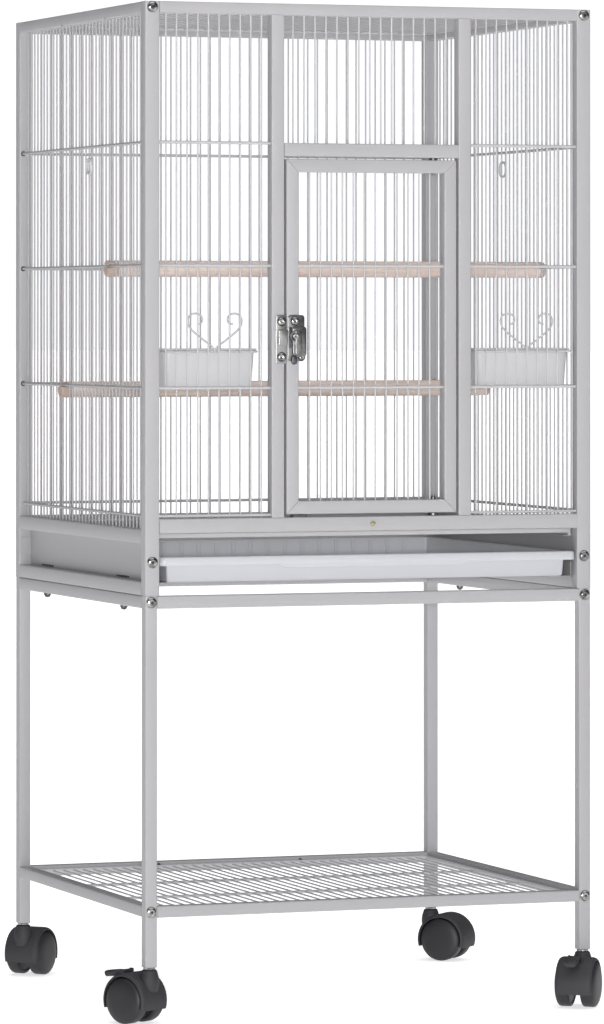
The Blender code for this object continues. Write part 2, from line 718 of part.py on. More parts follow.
def make_top_panel(material):
    across = (SIDE_RAIL_DEPTH + SEAT, WIDTH - SIDE_RAIL_DEPTH - SEAT)
    along = (PANEL_DEPTH + SEAT, DEPTH - PANEL_DEPTH - SEAT)
    low = TOP_RAIL_LOW + TOP_EDGE_LIFT
    high = low + TOP_EDGE_THICKNESS
    frame = ring_frame(bmesh.new(), across, along, (TOP_EDGE, TOP_EDGE), (low, high), facing_up)
    middle = (low + high) / 2
    wires = bmesh.new()
    for x in spread(PANEL_DEPTH, WIDTH - PANEL_DEPTH, WIRE_PITCH, WIRE_MARGIN + TOP_EDGE):
        ends = (along[0] + TOP_EDGE - EMBED, along[1] - TOP_EDGE + EMBED)
        bar(wires, "y", (x, 0, middle), *ends, WIRE, WIRE_SIDES)
    rods = bmesh.new()
    for i in range(TOP_ROD_COUNT):
        y = along[0] + (along[1] - along[0]) * (i + 1) / (TOP_ROD_COUNT + 1)
        z = middle + WIRE / 2 + WIRE_CLEARANCE + TOP_ROD / 2
        ends = (across[0] + TOP_EDGE - EMBED, across[1] - TOP_EDGE + EMBED)
        bar(rods, "x", (0, y, z), *ends, TOP_ROD, ROD_SIDES)
    return build("top_panel", frame, material, (wires, rods))


# Door, pivots and latch

def make_door(material):
    across = (DOOR_LEFT, DOOR_RIGHT)
    up = (DOOR_BOTTOM, DOOR_TOP)
    depth = (DOOR_FRONT, DOOR_FRONT + DOOR_DEPTH)
    frame = ring_frame(bmesh.new(), across, up, (DOOR_TUBE, DOOR_TUBE), depth, facing_front)
    low, high = DOOR_LEFT + DOOR_TUBE, DOOR_RIGHT - DOOR_TUBE
    places = spread(low, high, DOOR_WIRE_PITCH, DOOR_WIRE_MARGIN)
    wires = panel_wires(
        bmesh.new(), places, PANEL_MIDDLE, DOOR_BOTTOM + DOOR_TUBE, DOOR_TOP - DOOR_TUBE, FRONT_WIRE_SIDES
    )
    rods = panel_rods(bmesh.new(), ROD_INSET, [(low, high)], DOOR_ROD_HEIGHTS)
    bores = bmesh.new()
    for z in (DOOR_BOTTOM, DOOR_TOP - DOOR_TUBE):
        pivot = (PIVOT_X, PANEL_MIDDLE, 0)
        bar(bores, "z", pivot, z - EMBED, z + DOOR_TUBE + EMBED, 2 * PIVOT_BORE, ROUND_SIDES)
    door = build("door", frame, material, (wires, rods), (bores,))
    set_origin(door, (PIVOT_X, PANEL_MIDDLE, DOOR_BOTTOM))
    return door


def make_pivots(material):
    pin, washer, nut = PIVOT_RADIUS, PIVOT_WASHER_RADIUS, PIVOT_NUT_RADIUS
    nut_low = DOOR_BOTTOM + DOOR_TUBE + SEAT
    lower = [
        (SILL_TOP - PIVOT_DEPTH + SEAT, pin),
        (SILL_TOP + SEAT, pin),
        (SILL_TOP + SEAT, washer),
        (DOOR_BOTTOM - SEAT, washer),
        (DOOR_BOTTOM - SEAT, pin),
        (nut_low, pin),
        (nut_low, nut),
        (nut_low + PIVOT_NUT_HEIGHT, nut),
        (nut_low + PIVOT_NUT_HEIGHT, pin),
        (nut_low + PIVOT_NUT_HEIGHT + PIVOT_TIP, pin),
    ]
    nut_high = DOOR_TOP - DOOR_TUBE - SEAT
    upper = [
        (nut_high - PIVOT_TIP, pin),
        (DOOR_TOP + SEAT, pin),
        (DOOR_TOP + SEAT, PIVOT_TOP_WASHER_RADIUS),
        (HEAD_LOW - SEAT, PIVOT_TOP_WASHER_RADIUS),
        (HEAD_LOW - SEAT, pin),
        (HEAD_LOW + PIVOT_DEPTH - SEAT, pin),
    ]
    made = []
    for name, profile in (("door_pivot_lower", lower), ("door_pivot_upper", upper)):
        shell = turned(bmesh.new(), "z", (PIVOT_X, PANEL_MIDDLE, 0), profile, ROUND_SIDES)
        made.append(build(name, shell, material))
    return made


def make_latch(material, door):
    front = -SEAT
    right = LEFT_POST[1] + DOOR_SIDE_GAP - SEAT
    left = right - KEEPER_WIDTH
    low, high = LATCH_HEIGHT - KEEPER_DROP, LATCH_HEIGHT + KEEPER_RISE
    plate = box(bmesh.new(), (left, front - LATCH_SHEET, low), (right, front, high))
    hook_low, hook_high = LATCH_HEIGHT - HOOK_DROP, LATCH_HEIGHT + HOOK_RISE
    hook_front = LEVER_FRONT - LEVER_GAP / 2
    hook = box(
        bmesh.new(),
        (right - HOOK_WIDTH, hook_front - LATCH_SHEET, hook_high - LATCH_SHEET),
        (right - SEAT, front - LATCH_SHEET / 2, hook_high),
    )
    face = box(
        bmesh.new(),
        (right - HOOK_WIDTH, hook_front - LATCH_SHEET, hook_low),
        (right - SEAT, hook_front, hook_high - LATCH_SHEET / 2),
    )
    keeper = build("latch_keeper", plate, material, (hook, face))

    back = DOOR_FRONT - SEAT
    left = DOOR_LEFT + LATCH_PLATE_INSET
    shell = box(
        bmesh.new(),
        (left, back - LATCH_SHEET, LATCH_HEIGHT - LATCH_PLATE_DROP),
        (left + LATCH_PLATE_WIDTH, back, high),
    )
    head = LEVER_FRONT - SEAT
    rivet_profile = [
        (back - LATCH_SHEET / 2, LEVER_RIVET_RADIUS),
        (head, LEVER_RIVET_RADIUS),
        (head, LEVER_RIVET_HEAD),
        (head - LATCH_SHEET, LEVER_RIVET_HEAD),
    ]
    pivot = (LATCH_PIVOT_X, 0, LATCH_HEIGHT)
    rivet = turned(bmesh.new(), "y", pivot, rivet_profile, ROUND_SIDES)
    plate = build("latch_plate", shell, material, (rivet,))

    body = hull_prism(
        bmesh.new(),
        [(0, 0, LEVER_HUB_RADIUS), (LEVER_THUMB, 0, LEVER_THUMB_RADIUS)],
        LEVER_FRONT,
        LEVER_BACK,
    )
    tail = hull_prism(
        bmesh.new(),
        [(0, 0, LEVER_TAIL_RADIUS), (0, -LEVER_TAIL, LEVER_TAIL_RADIUS)],
        LEVER_FRONT + SEAT / 3,
        LEVER_BACK - SEAT / 3,
    )
    hole = 2 * (LEVER_RIVET_RADIUS + PIVOT_BORE_CLEARANCE) / math.cos(math.pi / ROUND_SIDES)
    bore = bar(bmesh.new(), "y", (0, 0, 0), LEVER_FRONT - EMBED, LEVER_BACK + EMBED, hole, ROUND_SIDES)
    lever = build("latch_lever", body, material, (tail,), (bore,))
    lever.location = pivot
    attach(plate, door)
    attach(lever, door)
    return [keeper]


# Grate, tray and their runners

def make_grate(material):
    left = STILE_WIDTH + GRATE_SIDE_GAP
    right = WIDTH - left
    back = GRATE_FRONT + GRATE_LENGTH
    sides = bmesh.new()
    for x in (left, right - GRATE_SIDE_BAR):
        box(sides, (x, GRATE_FRONT, GRATE_LOW), (x + GRATE_SIDE_BAR, back, GRATE_TOP))
    low, high = GRATE_TOP - GRATE_BAR_HEIGHT, GRATE_TOP - SEAT
    ends = bmesh.new()
    for y in (GRATE_FRONT + SEAT, back - SEAT - GRATE_BAR):
        inset = GRATE_SIDE_BAR - EMBED / 2
        box(ends, (left + inset, y, low), (right - inset, y + GRATE_BAR, high))
    middle = (low + high) / 2
    wires = bmesh.new()
    for x in spread(left + GRATE_SIDE_BAR, right - GRATE_SIDE_BAR, WIRE_PITCH, WIRE_MARGIN):
        start = GRATE_FRONT + GRATE_BAR - EMBED
        bar(wires, "y", (x, 0, middle), start, back - GRATE_BAR + EMBED, WIRE, WIRE_SIDES)
    rods = bmesh.new()
    for i in range(GRATE_ROD_COUNT):
        y = GRATE_FRONT + GRATE_LENGTH * (i + 1) / (GRATE_ROD_COUNT + 1)
        z = middle - WIRE / 2 - WIRE_CLEARANCE - GRATE_ROD / 2
        inset = GRATE_SIDE_BAR - EMBED / 2
        bar(rods, "x", (0, y, z), left + inset, right - inset, GRATE_ROD, ROD_SIDES)
    return build("grate", sides, material, (ends, wires, rods))


def make_tray(material):
    """The rim's outer edge is the outline. Each step is (distance in from it, height)."""
    side = STILE_WIDTH + TRAY_SIDE_GAP
    low = (side, TRAY_FRONT)
    high = (WIDTH - side, TRAY_FRONT + TRAY_LENGTH)
    body = TRAY_LIP_WIDTH
    edge = TRAY_WALL / 2
    steps = [
        (body + TRAY_DRAFT, TRAY_BOTTOM),
        (body, TRAY_TOP - TRAY_WALL),
        (TRAY_WALL, TRAY_TOP - TRAY_WALL),
        (TRAY_WALL, TRAY_TOP - TRAY_LIP),
        (0.0, TRAY_TOP - TRAY_LIP),
        (0.0, TRAY_TOP - edge),
        (edge, TRAY_TOP),
        (body + TRAY_WALL, TRAY_TOP),
        (body + TRAY_WALL + TRAY_DRAFT, TRAY_BOTTOM + TRAY_WALL),
    ]
    rings = []
    for inset, z in steps:
        radius = max(TRAY_CORNER - inset / 2, TRAY_WALL)
        inner = (low[0] + inset, low[1] + inset)
        outer = (high[0] - inset, high[1] - inset)
        rings.append([(x, y, z) for x, y in rounded_rectangle(inner, outer, radius)])
    return build("tray", loft(bmesh.new(), rings), material)


def make_runner(side, material):
    front, back = SIDE_FRONT + RUNNER_END_GAP, SIDE_BACK - RUNNER_END_GAP
    top = TRAY_BOTTOM - SEAT
    low = top - RUNNER_THICKNESS
    inner = SIDE_RAIL_DEPTH + SEAT
    shelf = box(bmesh.new(), (inner, front, low), (inner + RUNNER_WIDTH, back, top))
    wall = box(
        bmesh.new(),
        (inner, front, top - RUNNER_THICKNESS / 2),
        (inner + RUNNER_THICKNESS, back, low + RUNNER_HEIGHT),
    )
    tabs = bmesh.new()
    tab_low = SIDE_BOTTOM_RAIL_TOP + TAB_LIFT
    for y in TAB_CENTRES:
        box(
            tabs,
            (PLATE_X - SHEET, y - TAB_LENGTH / 2, tab_low),
            (inner + RUNNER_THICKNESS / 2, y + TAB_LENGTH / 2, tab_low + TAB_THICKNESS),
        )
    added = [on_side(shell, side) for shell in (wall, tabs)]
    return build(f"tray_runner_{side}", on_side(shelf, side), material, added)


# Perches and feeders

def make_perch(name, material):
    y, rod, drop = PERCHES[name]
    rod_z = ROD_HEIGHTS[rod]
    z = rod_z - drop
    ends = (SEAT, WIDTH - SEAT)
    dowel = bar(bmesh.new(), "x", (0, y, z), *ends, 2 * PERCH_RADIUS, PERCH_SIDES)
    half = WIRE / 2 + KERF_CLEARANCE
    reach = PERCH_RADIUS + half
    kerfs = bmesh.new()
    for wire_y in side_wire_places():
        if abs(wire_y - y) < reach:
            for low, high in ((-EMBED, PANEL_MIDDLE + half), (WIDTH - PANEL_MIDDLE - half, WIDTH + EMBED)):
                box(kerfs, (low, wire_y - half, z - reach), (high, wire_y + half, z + reach))
    half = ROD / 2 + KERF_CLEARANCE
    notches = bmesh.new()
    for low, high in ((-EMBED, ROD_INSET + half), (WIDTH - ROD_INSET - half, WIDTH + EMBED)):
        box(notches, (low, y - reach, rod_z - half), (high, y + reach, rod_z + half))
    return build(name, dowel, material, (), (kerfs, notches))


def cup_span(side):
    """The cup's left and right sides and the middle of its scroll, between the stile and the post."""
    stile_gap, post_gap, scroll_shift = FEEDERS[side]
    if side == "left":
        left, right = STILE_WIDTH + stile_gap, LEFT_POST[0] - post_gap
        return left, right, (left + right) / 2 + scroll_shift
    left, right = RIGHT_POST[1] + post_gap, WIDTH - STILE_WIDTH - stile_gap
    return left, right, (left + right) / 2 - scroll_shift


def make_feeder(side, materials):
    left, right, scroll_x = cup_span(side)
    low = (left, CUP_FRONT)
    high = (right, CUP_FRONT + CUP_DEPTH)
    lip_low = CUP_TOP - CUP_LIP_HEIGHT
    steps = [
        (CUP_TAPER, 0, CUP_BOTTOM),
        (0, 0, lip_low),
        (0, CUP_LIP, lip_low),
        (0, CUP_LIP, CUP_TOP),
        (CUP_WALL, 0, CUP_TOP),
        (CUP_WALL + CUP_TAPER, 0, CUP_BOTTOM + CUP_WALL),
    ]
    rings = []
    for inset, lip, z in steps:
        inner = (low[0] + inset - lip, low[1] + min(inset, CUP_WALL))
        outer = (high[0] - inset + lip, high[1] - inset + lip)
        ring = rounded_rectangle(inner, outer, CUP_CORNER - inset / 2)
        rings.append([(x, y, z) for x, y in ring])
    cup = build(f"feeder_cup_{side}", loft(bmesh.new(), rings), materials["cup"])
    set_origin(cup, ((left + right) / 2, CUP_FRONT, CUP_BOTTOM))

    offset = CUP_CLEARANCE + HOLDER_WIRE / 2
    ring = rounded_rectangle(
        (low[0] - offset, HOLDER_Y), (high[0] + offset, high[1] + offset), CUP_CORNER
    )
    path = [Vector((x, y, HOLDER_Z)) for x, y in ring]
    loop = tube(bmesh.new(), path, HOLDER_WIRE, HOLDER_SIDES, Vector((0, 0, 1)), closed=True)
    scroll = tube(bmesh.new(), scroll_path(scroll_x), HOLDER_WIRE, HOLDER_SIDES, Vector((0, 1, 0)))
    clips = bmesh.new()
    front = PANEL_MIDDLE - WIRE / 2 - WIRE_CLEARANCE - WIRE
    for x in clip_places(low[0], high[0]):
        box(clips, (x - WIRE / 2, front, HOLDER_Z - WIRE / 2), (x + WIRE / 2, HOLDER_Y, HOLDER_Z + WIRE / 2))
    bars = bmesh.new()
    for x in clip_places(low[0], high[0]):
        half = WIRE / 2 - SEAT / 3
        box(
            bars,
            (x - CLIP_SPREAD, front + SEAT / 3, HOLDER_Z - half),
            (x + CLIP_SPREAD, front + WIRE, HOLDER_Z + half),
        )
    holder = build(f"feeder_holder_{side}", loop, materials["coated"], (scroll, clips, bars))
    return [cup, holder]


def clip_places(low, high):
    """The gap between two front wires that is nearest to each end of the cup."""
    sections = ((STILE_WIDTH, LEFT_POST[0]), (RIGHT_POST[1], WIDTH - STILE_WIDTH))
    gaps = []
    for section in sections:
        wires = spread(*section, WIRE_PITCH, WIRE_MARGIN)
        gaps += [(a + b) / 2 for a, b in zip(wires, wires[1:])]
    return [min(gaps, key=lambda gap: abs(gap - x)) for x in (low + CLIP_INSET, high - CLIP_INSET)]


def scroll_path(centre):
    """A heart in one wire: a straight leg out to each side, then a curl that winds in on itself."""
    right = [(0.0, 0.0), SCROLL_LEG]
    start = math.atan2(SCROLL_LEG[1] - SCROLL_CURL[1], SCROLL_LEG[0] - SCROLL_CURL[0])
    start += math.radians(30)
    for step in range(SCROLL_STEPS + 1):
        share = step / SCROLL_STEPS
        angle = start + math.radians(SCROLL_TURN) * share
        radius = SCROLL_CURL_RADIUS + (SCROLL_CURL_END - SCROLL_CURL_RADIUS) * share
        right.append((SCROLL_CURL[0] + radius * math.cos(angle), SCROLL_CURL[1] + radius * math.sin(angle)))
    left = [(-x, z) for x, z in reversed(right[1:])]
    return [Vector((centre + x, HOLDER_Y, HOLDER_Z + z)) for x, z in left + right]


# Stand

def make_leg_frame(name, front, material):
    """Two legs with a top rail and a shelf rail between them, welded. front is the frame's front face."""
    across = (LEG_INSET, LEG_BACK, WIDTH - LEG_BACK, WIDTH - LEG_INSET)
    up = (LEG_BOTTOM, SHELF_LOW, SHELF_LOW + SHELF_RAIL_HEIGHT, STAND_RAIL_LOW, STAND_TOP)
    frame = cells(
        bmesh.new(), across, up, (front, front + LEG), lambda i, j: i != 1 or j in (1, 3), facing_front
    )
    bores = bmesh.new()
    for x in (LEG_MIDDLE, WIDTH - LEG_MIDDLE):
        bar(
            bores,
            "z",
            (x, front + LEG / 2, 0),
            LEG_BOTTOM - EMBED,
            LEG_BOTTOM + PLUG_LENGTH + SEAT,
            2 * (PLUG_RADIUS + SEAT),
            ROUND_SIDES,
        )
    cut = [bores]
    if front < DEPTH / 2:
        cut.append(bolt_holes(bmesh.new(), leg_bolt_places(), -EMBED, LEG_BACK + EMBED))
    return build(name, frame, material, (), cut)


def leg_bolt_places():
    heights = ((STAND_RAIL_LOW + STAND_TOP) / 2, SHELF_LOW + SHELF_RAIL_HEIGHT / 2)
    return [(x, z) for x in (LEG_MIDDLE, WIDTH - LEG_MIDDLE) for z in heights]


def make_side_rail(name, side, low, high, screws, material):
    """A rail between the front and back legs, with a blind hole for the front bolt."""
    rail = box(bmesh.new(), (LEG_INSET, LEG_BACK + SEAT, low), (LEG_BACK, DEPTH - LEG_BACK - SEAT, high))
    bores = bmesh.new()
    middle = (LEG_MIDDLE, 0, (low + high) / 2)
    bar(bores, "y", middle, 0, BOLT_REACH + SEAT, 2 * BOLT_HOLE, ROUND_SIDES)
    for y in screws:
        size = 2 * (STAND_SCREW_RADIUS + BOLT_CLEARANCE)
        bar(bores, "z", (LEG_MIDDLE, y, 0), low - EMBED, high + EMBED, size, ROUND_SIDES)
    return build(f"{name}_{side}", on_side(rail, side), material, (), (on_side(bores, side),))


def make_shelf(material):
    low = LEG_BACK + SEAT
    across, along = (low, WIDTH - low), (low, DEPTH - low)
    middle = SHELF_LOW + SHELF_RAIL_HEIGHT / 2
    bottom = middle - SHELF_EDGE_HEIGHT / 2
    frame = ring_frame(
        bmesh.new(),
        across,
        along,
        (SHELF_EDGE, SHELF_EDGE),
        (bottom, bottom + SHELF_EDGE_HEIGHT),
        facing_up,
    )
    wires = bmesh.new()
    for x in spread(across[0] + SHELF_EDGE, across[1] - SHELF_EDGE, WIRE_PITCH, WIRE_MARGIN):
        ends = (along[0] + SHELF_EDGE - EMBED, along[1] - SHELF_EDGE + EMBED)
        bar(wires, "y", (x, 0, middle), *ends, WIRE, WIRE_SIDES)
    rods = bmesh.new()
    for y in SHELF_RODS:
        z = middle - WIRE / 2 - WIRE_CLEARANCE - ROD / 2
        inset = SHELF_EDGE - EMBED / 2
        bar(rods, "x", (0, y, z), across[0] + inset, across[1] - inset, ROD, ROD_SIDES)
    return build("shelf_grid", frame, material, (wires, rods))


# Fasteners

def make_bolts(material):
    names = ("left_top", "left_lower", "right_top", "right_lower")
    groups = (
        ("cage_bolt", stile_bolt_places(), 0.0),
        ("stand_bolt", leg_bolt_places(), LEG_INSET),
    )
    made = []
    for group, places, face in groups:
        profile = [
            (face - SEAT - BOLT_HEAD, BOLT_FACE_RADIUS),
            (face - SEAT - BOLT_HEAD_EDGE, BOLT_HEAD_RADIUS),
            (face - SEAT, BOLT_HEAD_RADIUS),
            (face - SEAT, BOLT_RADIUS),
            (BOLT_REACH, BOLT_RADIUS),
        ]
        for name, (x, z) in zip(names, places):
            shell = turned(bmesh.new(), "y", (x, 0, z), profile, ROUND_SIDES)
            made.append(build(f"{group}_{name}", shell, material))
    profile = [
        (-SEAT - RAIL_SCREW_RADIUS, RAIL_SCREW_RADIUS),
        (-SEAT, RAIL_SCREW_HEAD),
        (-SEAT / 2, RAIL_SCREW_RADIUS),
        (RAIL_SCREW_DEPTH, RAIL_SCREW_RADIUS),
    ]
    screw = turned(bmesh.new(), "y", rail_screw_place(), profile, ROUND_SIDES)
    made.append(build("sill_screw", screw, material))
    return made


def make_stand_screws(material):
    made = []
    nut_top = STAND_RAIL_LOW - SEAT
    for side in ("left", "right"):
        for name, y in zip(("front", "back"), STAND_SCREWS):
            profile = [
                (nut_top - STAND_NUT_HEIGHT, STAND_NUT_CROWN),
                (nut_top - STAND_NUT_SHOULDER[1], STAND_NUT_SHOULDER[0]),
                (nut_top - STAND_NUT_HEX, STAND_NUT_RADIUS),
                (nut_top, STAND_NUT_RADIUS),
                (nut_top, STAND_SCREW_RADIUS),
                (CAGE_FLOOR + STAND_SCREW_GRIP - SEAT, STAND_SCREW_RADIUS),
            ]
            shell = turned(bmesh.new(), "z", (LEG_MIDDLE, y, 0), profile, ROUND_SIDES)
            made.append(build(f"stand_screw_{side}_{name}", on_side(shell, side), material))
    return made


# Casters, made with the stem at the origin and the axle towards +x

def caster_stem_mesh(material):
    flange = (BOSS_TOP + SEAT, LEG_BOTTOM - SEAT)
    profile = [
        (STEM_LOW, STEM_RADIUS),
        (flange[0], STEM_RADIUS),
        (flange[0], STEM_FLANGE_RADIUS),
        (flange[1], STEM_FLANGE_RADIUS),
        (flange[1], PLUG_RADIUS),
        (LEG_BOTTOM + PLUG_LENGTH, PLUG_RADIUS),
    ]
    return build("caster_stem", turned(bmesh.new(), "z", (0, 0, 0), profile, ROUND_SIDES), material)


def caster_hood_mesh(material, braked):
    axle = (TRAIL, 0, WHEEL_RADIUS)
    section = (
        (-FENDER_HALF_WIDTH, FENDER_INNER),
        (-FENDER_HALF_WIDTH, (FENDER_INNER + FENDER_OUTER) / 2),
        (FENDER_SHOULDER - FENDER_HALF_WIDTH, FENDER_OUTER),
        (FENDER_HALF_WIDTH - FENDER_SHOULDER, FENDER_OUTER),
        (FENDER_HALF_WIDTH, (FENDER_INNER + FENDER_OUTER) / 2),
        (FENDER_HALF_WIDTH, FENDER_INNER),
    )
    rings = []
    for step in range(FENDER_STEPS + 1):
        angle = math.radians(-FENDER_DROOP + (180 + 2 * FENDER_DROOP) * step / FENDER_STEPS)
        spoke = Vector((math.cos(angle), 0, math.sin(angle)))
        rings.append([Vector(axle) + spoke * radius + Vector((0, y, 0)) for y, radius in section])
    fender = loft(bmesh.new(), rings)
    hub = (TRAIL, WHEEL_RADIUS, WEB_HUB)
    reach = (FENDER_INNER + FENDER_OUTER) / 2
    rim = []
    for step in range(FENDER_STEPS + 1):
        angle = math.radians(-FENDER_DROOP / 2 + (180 + FENDER_DROOP) * step / FENDER_STEPS)
        rim.append((TRAIL + reach * math.cos(angle), WHEEL_RADIUS + reach * math.sin(angle), 1e-4))
    web = hull_prism(bmesh.new(), [hub, *rim], -WEB_HALF_WIDTH, WEB_HALF_WIDTH, 6)
    boss_low = WHEEL_RADIUS + math.sqrt(FENDER_INNER**2 - (TRAIL - BOSS_RADIUS) ** 2)
    boss = bar(bmesh.new(), "z", (0, 0, 0), boss_low, BOSS_TOP, 2 * BOSS_RADIUS, ROUND_SIDES)
    added = [web, boss]
    bores = bar(
        bmesh.new(),
        "y",
        axle,
        -WEB_HALF_WIDTH - EMBED,
        WEB_HALF_WIDTH + EMBED,
        2 * running_bore(AXLE_RADIUS),
        ROUND_SIDES,
    )
    bar(bores, "z", (0, 0, 0), STEM_LOW - EMBED, BOSS_TOP + EMBED, 2 * running_bore(STEM_RADIUS), ROUND_SIDES)
    if braked:
        pivot_x, pivot_z = PEDAL_PIVOT
        spoke = (Vector((pivot_x, 0, pivot_z)) - Vector(axle)).normalized()
        lugs = bmesh.new()
        for side in (-1, 1):
            near = side * (PEDAL_HALF_WIDTH + SEAT)
            far = near + side * PEDAL_LUG_THICKNESS
            foot = (axle[0] + spoke.x * reach, axle[2] + spoke.z * reach, (FENDER_OUTER - FENDER_INNER) / 2)
            hull_prism(lugs, [(pivot_x, pivot_z, PEDAL_LUG), foot], min(near, far), max(near, far), 8)
        added.append(lugs)
        reach = PEDAL_HALF_WIDTH + 2 * PEDAL_LUG_THICKNESS
        place = (pivot_x, 0, pivot_z)
        bar(bores, "y", place, -reach, reach, 2 * running_bore(PEDAL_PIN_RADIUS), ROUND_SIDES)
    return build("caster_hood", fender, material, added, (bores,))


def running_bore(radius):
    """The radius of a faceted bore in which a faceted pin of this radius turns freely."""
    return (radius + AXLE_CLEARANCE / 2) / math.cos(math.pi / ROUND_SIDES)


def caster_wheels_mesh(material):
    """Both discs and their axle, with a flat of the tread facing down."""
    tread = WHEEL_RADIUS / math.cos(math.pi / WHEEL_SIDES)
    outer = [(WHEEL_HALF_WIDTH - depth, tread - drop) for depth, drop in WHEEL_DISH]
    outer += [
        (WHEEL_HALF_WIDTH - WHEEL_SHOULDER, tread),
        (WHEEL_INNER + WHEEL_CHAMFER, tread),
        (WHEEL_INNER, tread - WHEEL_CHAMFER_DEPTH),
        (WHEEL_INNER, AXLE_RADIUS),
    ]
    profile = [(-along, radius) for along, radius in outer] + list(reversed(outer))
    turn = -math.pi / 2 + math.pi / WHEEL_SIDES
    shell = turned(bmesh.new(), "y", (0, 0, 0), profile, WHEEL_SIDES, turn)
    return build("caster_wheels", shell, material)


def brake_pedal_mesh(material):
    """The tread plate and its pin, with the pin's axis at the origin."""
    half = PEDAL_THICKNESS / 2
    plate = hull_prism(
        bmesh.new(),
        [(0, 0, PEDAL_PIN_RADIUS + PEDAL_THICKNESS / 3), (PEDAL_LENGTH - half, 0, half)],
        -PEDAL_HALF_WIDTH,
        PEDAL_HALF_WIDTH,
    )
    reach = PEDAL_HALF_WIDTH + SEAT + PEDAL_LUG_THICKNESS
    pin = bar(bmesh.new(), "y", (0, 0, 0), -reach, reach, 2 * PEDAL_PIN_RADIUS, ROUND_SIDES)
    return build("brake_pedal", plate, material, (pin,))


def make_casters(materials):
    stem = caster_stem_mesh(materials["plated"])
    wheels = caster_wheels_mesh(materials["wheel"])
    pedal = brake_pedal_mesh(materials["black"])
    hoods = {braked: caster_hood_mesh(materials["black"], braked) for braked in (False, True)}
    made = []
    for name, (right, back, heading) in CASTERS.items():
        x = WIDTH - LEG_MIDDLE if right else LEG_MIDDLE
        y = DEPTH - LEG_MIDDLE if back else LEG_MIDDLE
        turn = math.radians(heading)
        post = add_object(f"caster_stem_{name}", stem.data)
        post.location = (x, y, 0)
        hood = add_object(f"caster_hood_{name}", hoods[name in BRAKED].data)
        hood.location = (x, y, 0)
        hood.rotation_euler = (0, 0, turn)
        pair = add_object(f"caster_wheels_{name}", wheels.data)
        pair.parent = hood
        pair.location = (TRAIL, 0, WHEEL_RADIUS)
        if name in BRAKED:
            tread = add_object(f"brake_pedal_{name}", pedal.data)
            tread.parent = hood
            tread.location = (PEDAL_PIVOT[0], 0, PEDAL_PIVOT[1])
        made += [post, hood]
    for pattern in (stem, wheels, pedal, *hoods.values()):
        bpy.data.objects.remove(pattern, do_unlink=True)
    return made


def centre_on_floor(pieces):
    """Hangs everything on one empty and moves it, so that the origin is under the middle of the whole."""
    bpy.context.view_layer.update()
    points = []
    for obj in bpy.data.objects:
        if obj.type == "MESH":
            points += [obj.matrix_world @ vertex.co for vertex in obj.data.vertices]
    middle = [(min(p[i] for p in points) + max(p[i] for p in points)) / 2 for i in (0, 1)]
    cage = add_object("flight_cage", None)
    for obj in pieces:
        attach(obj, cage)
    cage.location = (-middle[0], -middle[1], 0)


def main():
    clear_scene()
    materials = make_materials()
    coated, plated = materials["coated"], materials["plated"]
    door = make_door(coated)
    pieces = [
        make_front_panel(coated),
        make_back_panel(coated),
        make_top_panel(coated),
        door,
        make_grate(coated),
        make_tray(materials["tray"]),
        make_leg_frame("leg_frame_front", LEG_INSET, coated),
        make_leg_frame("leg_frame_back", DEPTH - LEG_BACK, coated),
        make_shelf(coated),
    ]
    for side in ("left", "right"):
        pieces.append(make_side_panel(side, coated))
        pieces.append(make_runner(side, coated))
        pieces.append(
            make_side_rail("stand_side_rail", side, STAND_RAIL_LOW, STAND_TOP, STAND_SCREWS, coated)
        )
        shelf_top = SHELF_LOW + SHELF_RAIL_HEIGHT
        pieces.append(make_side_rail("shelf_side_rail", side, SHELF_LOW, shelf_top, (), coated))
        pieces += make_feeder(side, materials)
    for name in PERCHES:
        pieces.append(make_perch(name, materials["wood"]))
    pieces += make_pivots(plated)
    pieces += make_latch(plated, door)
    pieces += make_bolts(plated)
    pieces += make_stand_screws(plated)
    pieces += make_casters(materials)
    centre_on_floor(pieces)


main()
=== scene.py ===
# %% [markdown]
# # A flight cage on a wheeled stand
#
# This lesson dresses a plain CAD model of a flight cage: five wire panels in square tube, a door on
# two pivot screws, perches, feeders, a grate over a tray, and a stand on four twin-wheel casters.
# The CAD model is loaded first and stays where it is. Every piece made here takes its place from it.

import math

import bmesh
import bpy
from mathutils import Euler, Matrix, Vector


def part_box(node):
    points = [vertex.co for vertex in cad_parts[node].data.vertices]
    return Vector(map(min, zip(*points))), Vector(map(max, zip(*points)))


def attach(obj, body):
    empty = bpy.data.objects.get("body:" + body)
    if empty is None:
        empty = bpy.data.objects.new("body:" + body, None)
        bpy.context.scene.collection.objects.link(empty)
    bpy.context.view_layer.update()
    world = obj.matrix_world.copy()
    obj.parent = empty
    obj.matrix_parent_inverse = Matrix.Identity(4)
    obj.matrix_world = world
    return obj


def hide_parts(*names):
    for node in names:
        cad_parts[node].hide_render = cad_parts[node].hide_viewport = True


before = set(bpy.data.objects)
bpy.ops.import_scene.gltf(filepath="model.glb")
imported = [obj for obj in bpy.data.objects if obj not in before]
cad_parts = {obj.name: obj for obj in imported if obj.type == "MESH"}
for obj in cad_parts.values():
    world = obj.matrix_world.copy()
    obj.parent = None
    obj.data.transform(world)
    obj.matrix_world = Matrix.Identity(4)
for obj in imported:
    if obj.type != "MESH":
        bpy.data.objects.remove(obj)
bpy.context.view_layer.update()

# %% [markdown]
# ## Where to measure from
#
# The world's origin is on the floor under the middle of the cage, which is awkward for reading off
# sizes. A cage maker measures from the left side and from the front. So every piece below is drawn
# in cage measure: x from the left face, y from the front face, z from the floor, in metres. One
# matrix takes the finished mesh to the world.

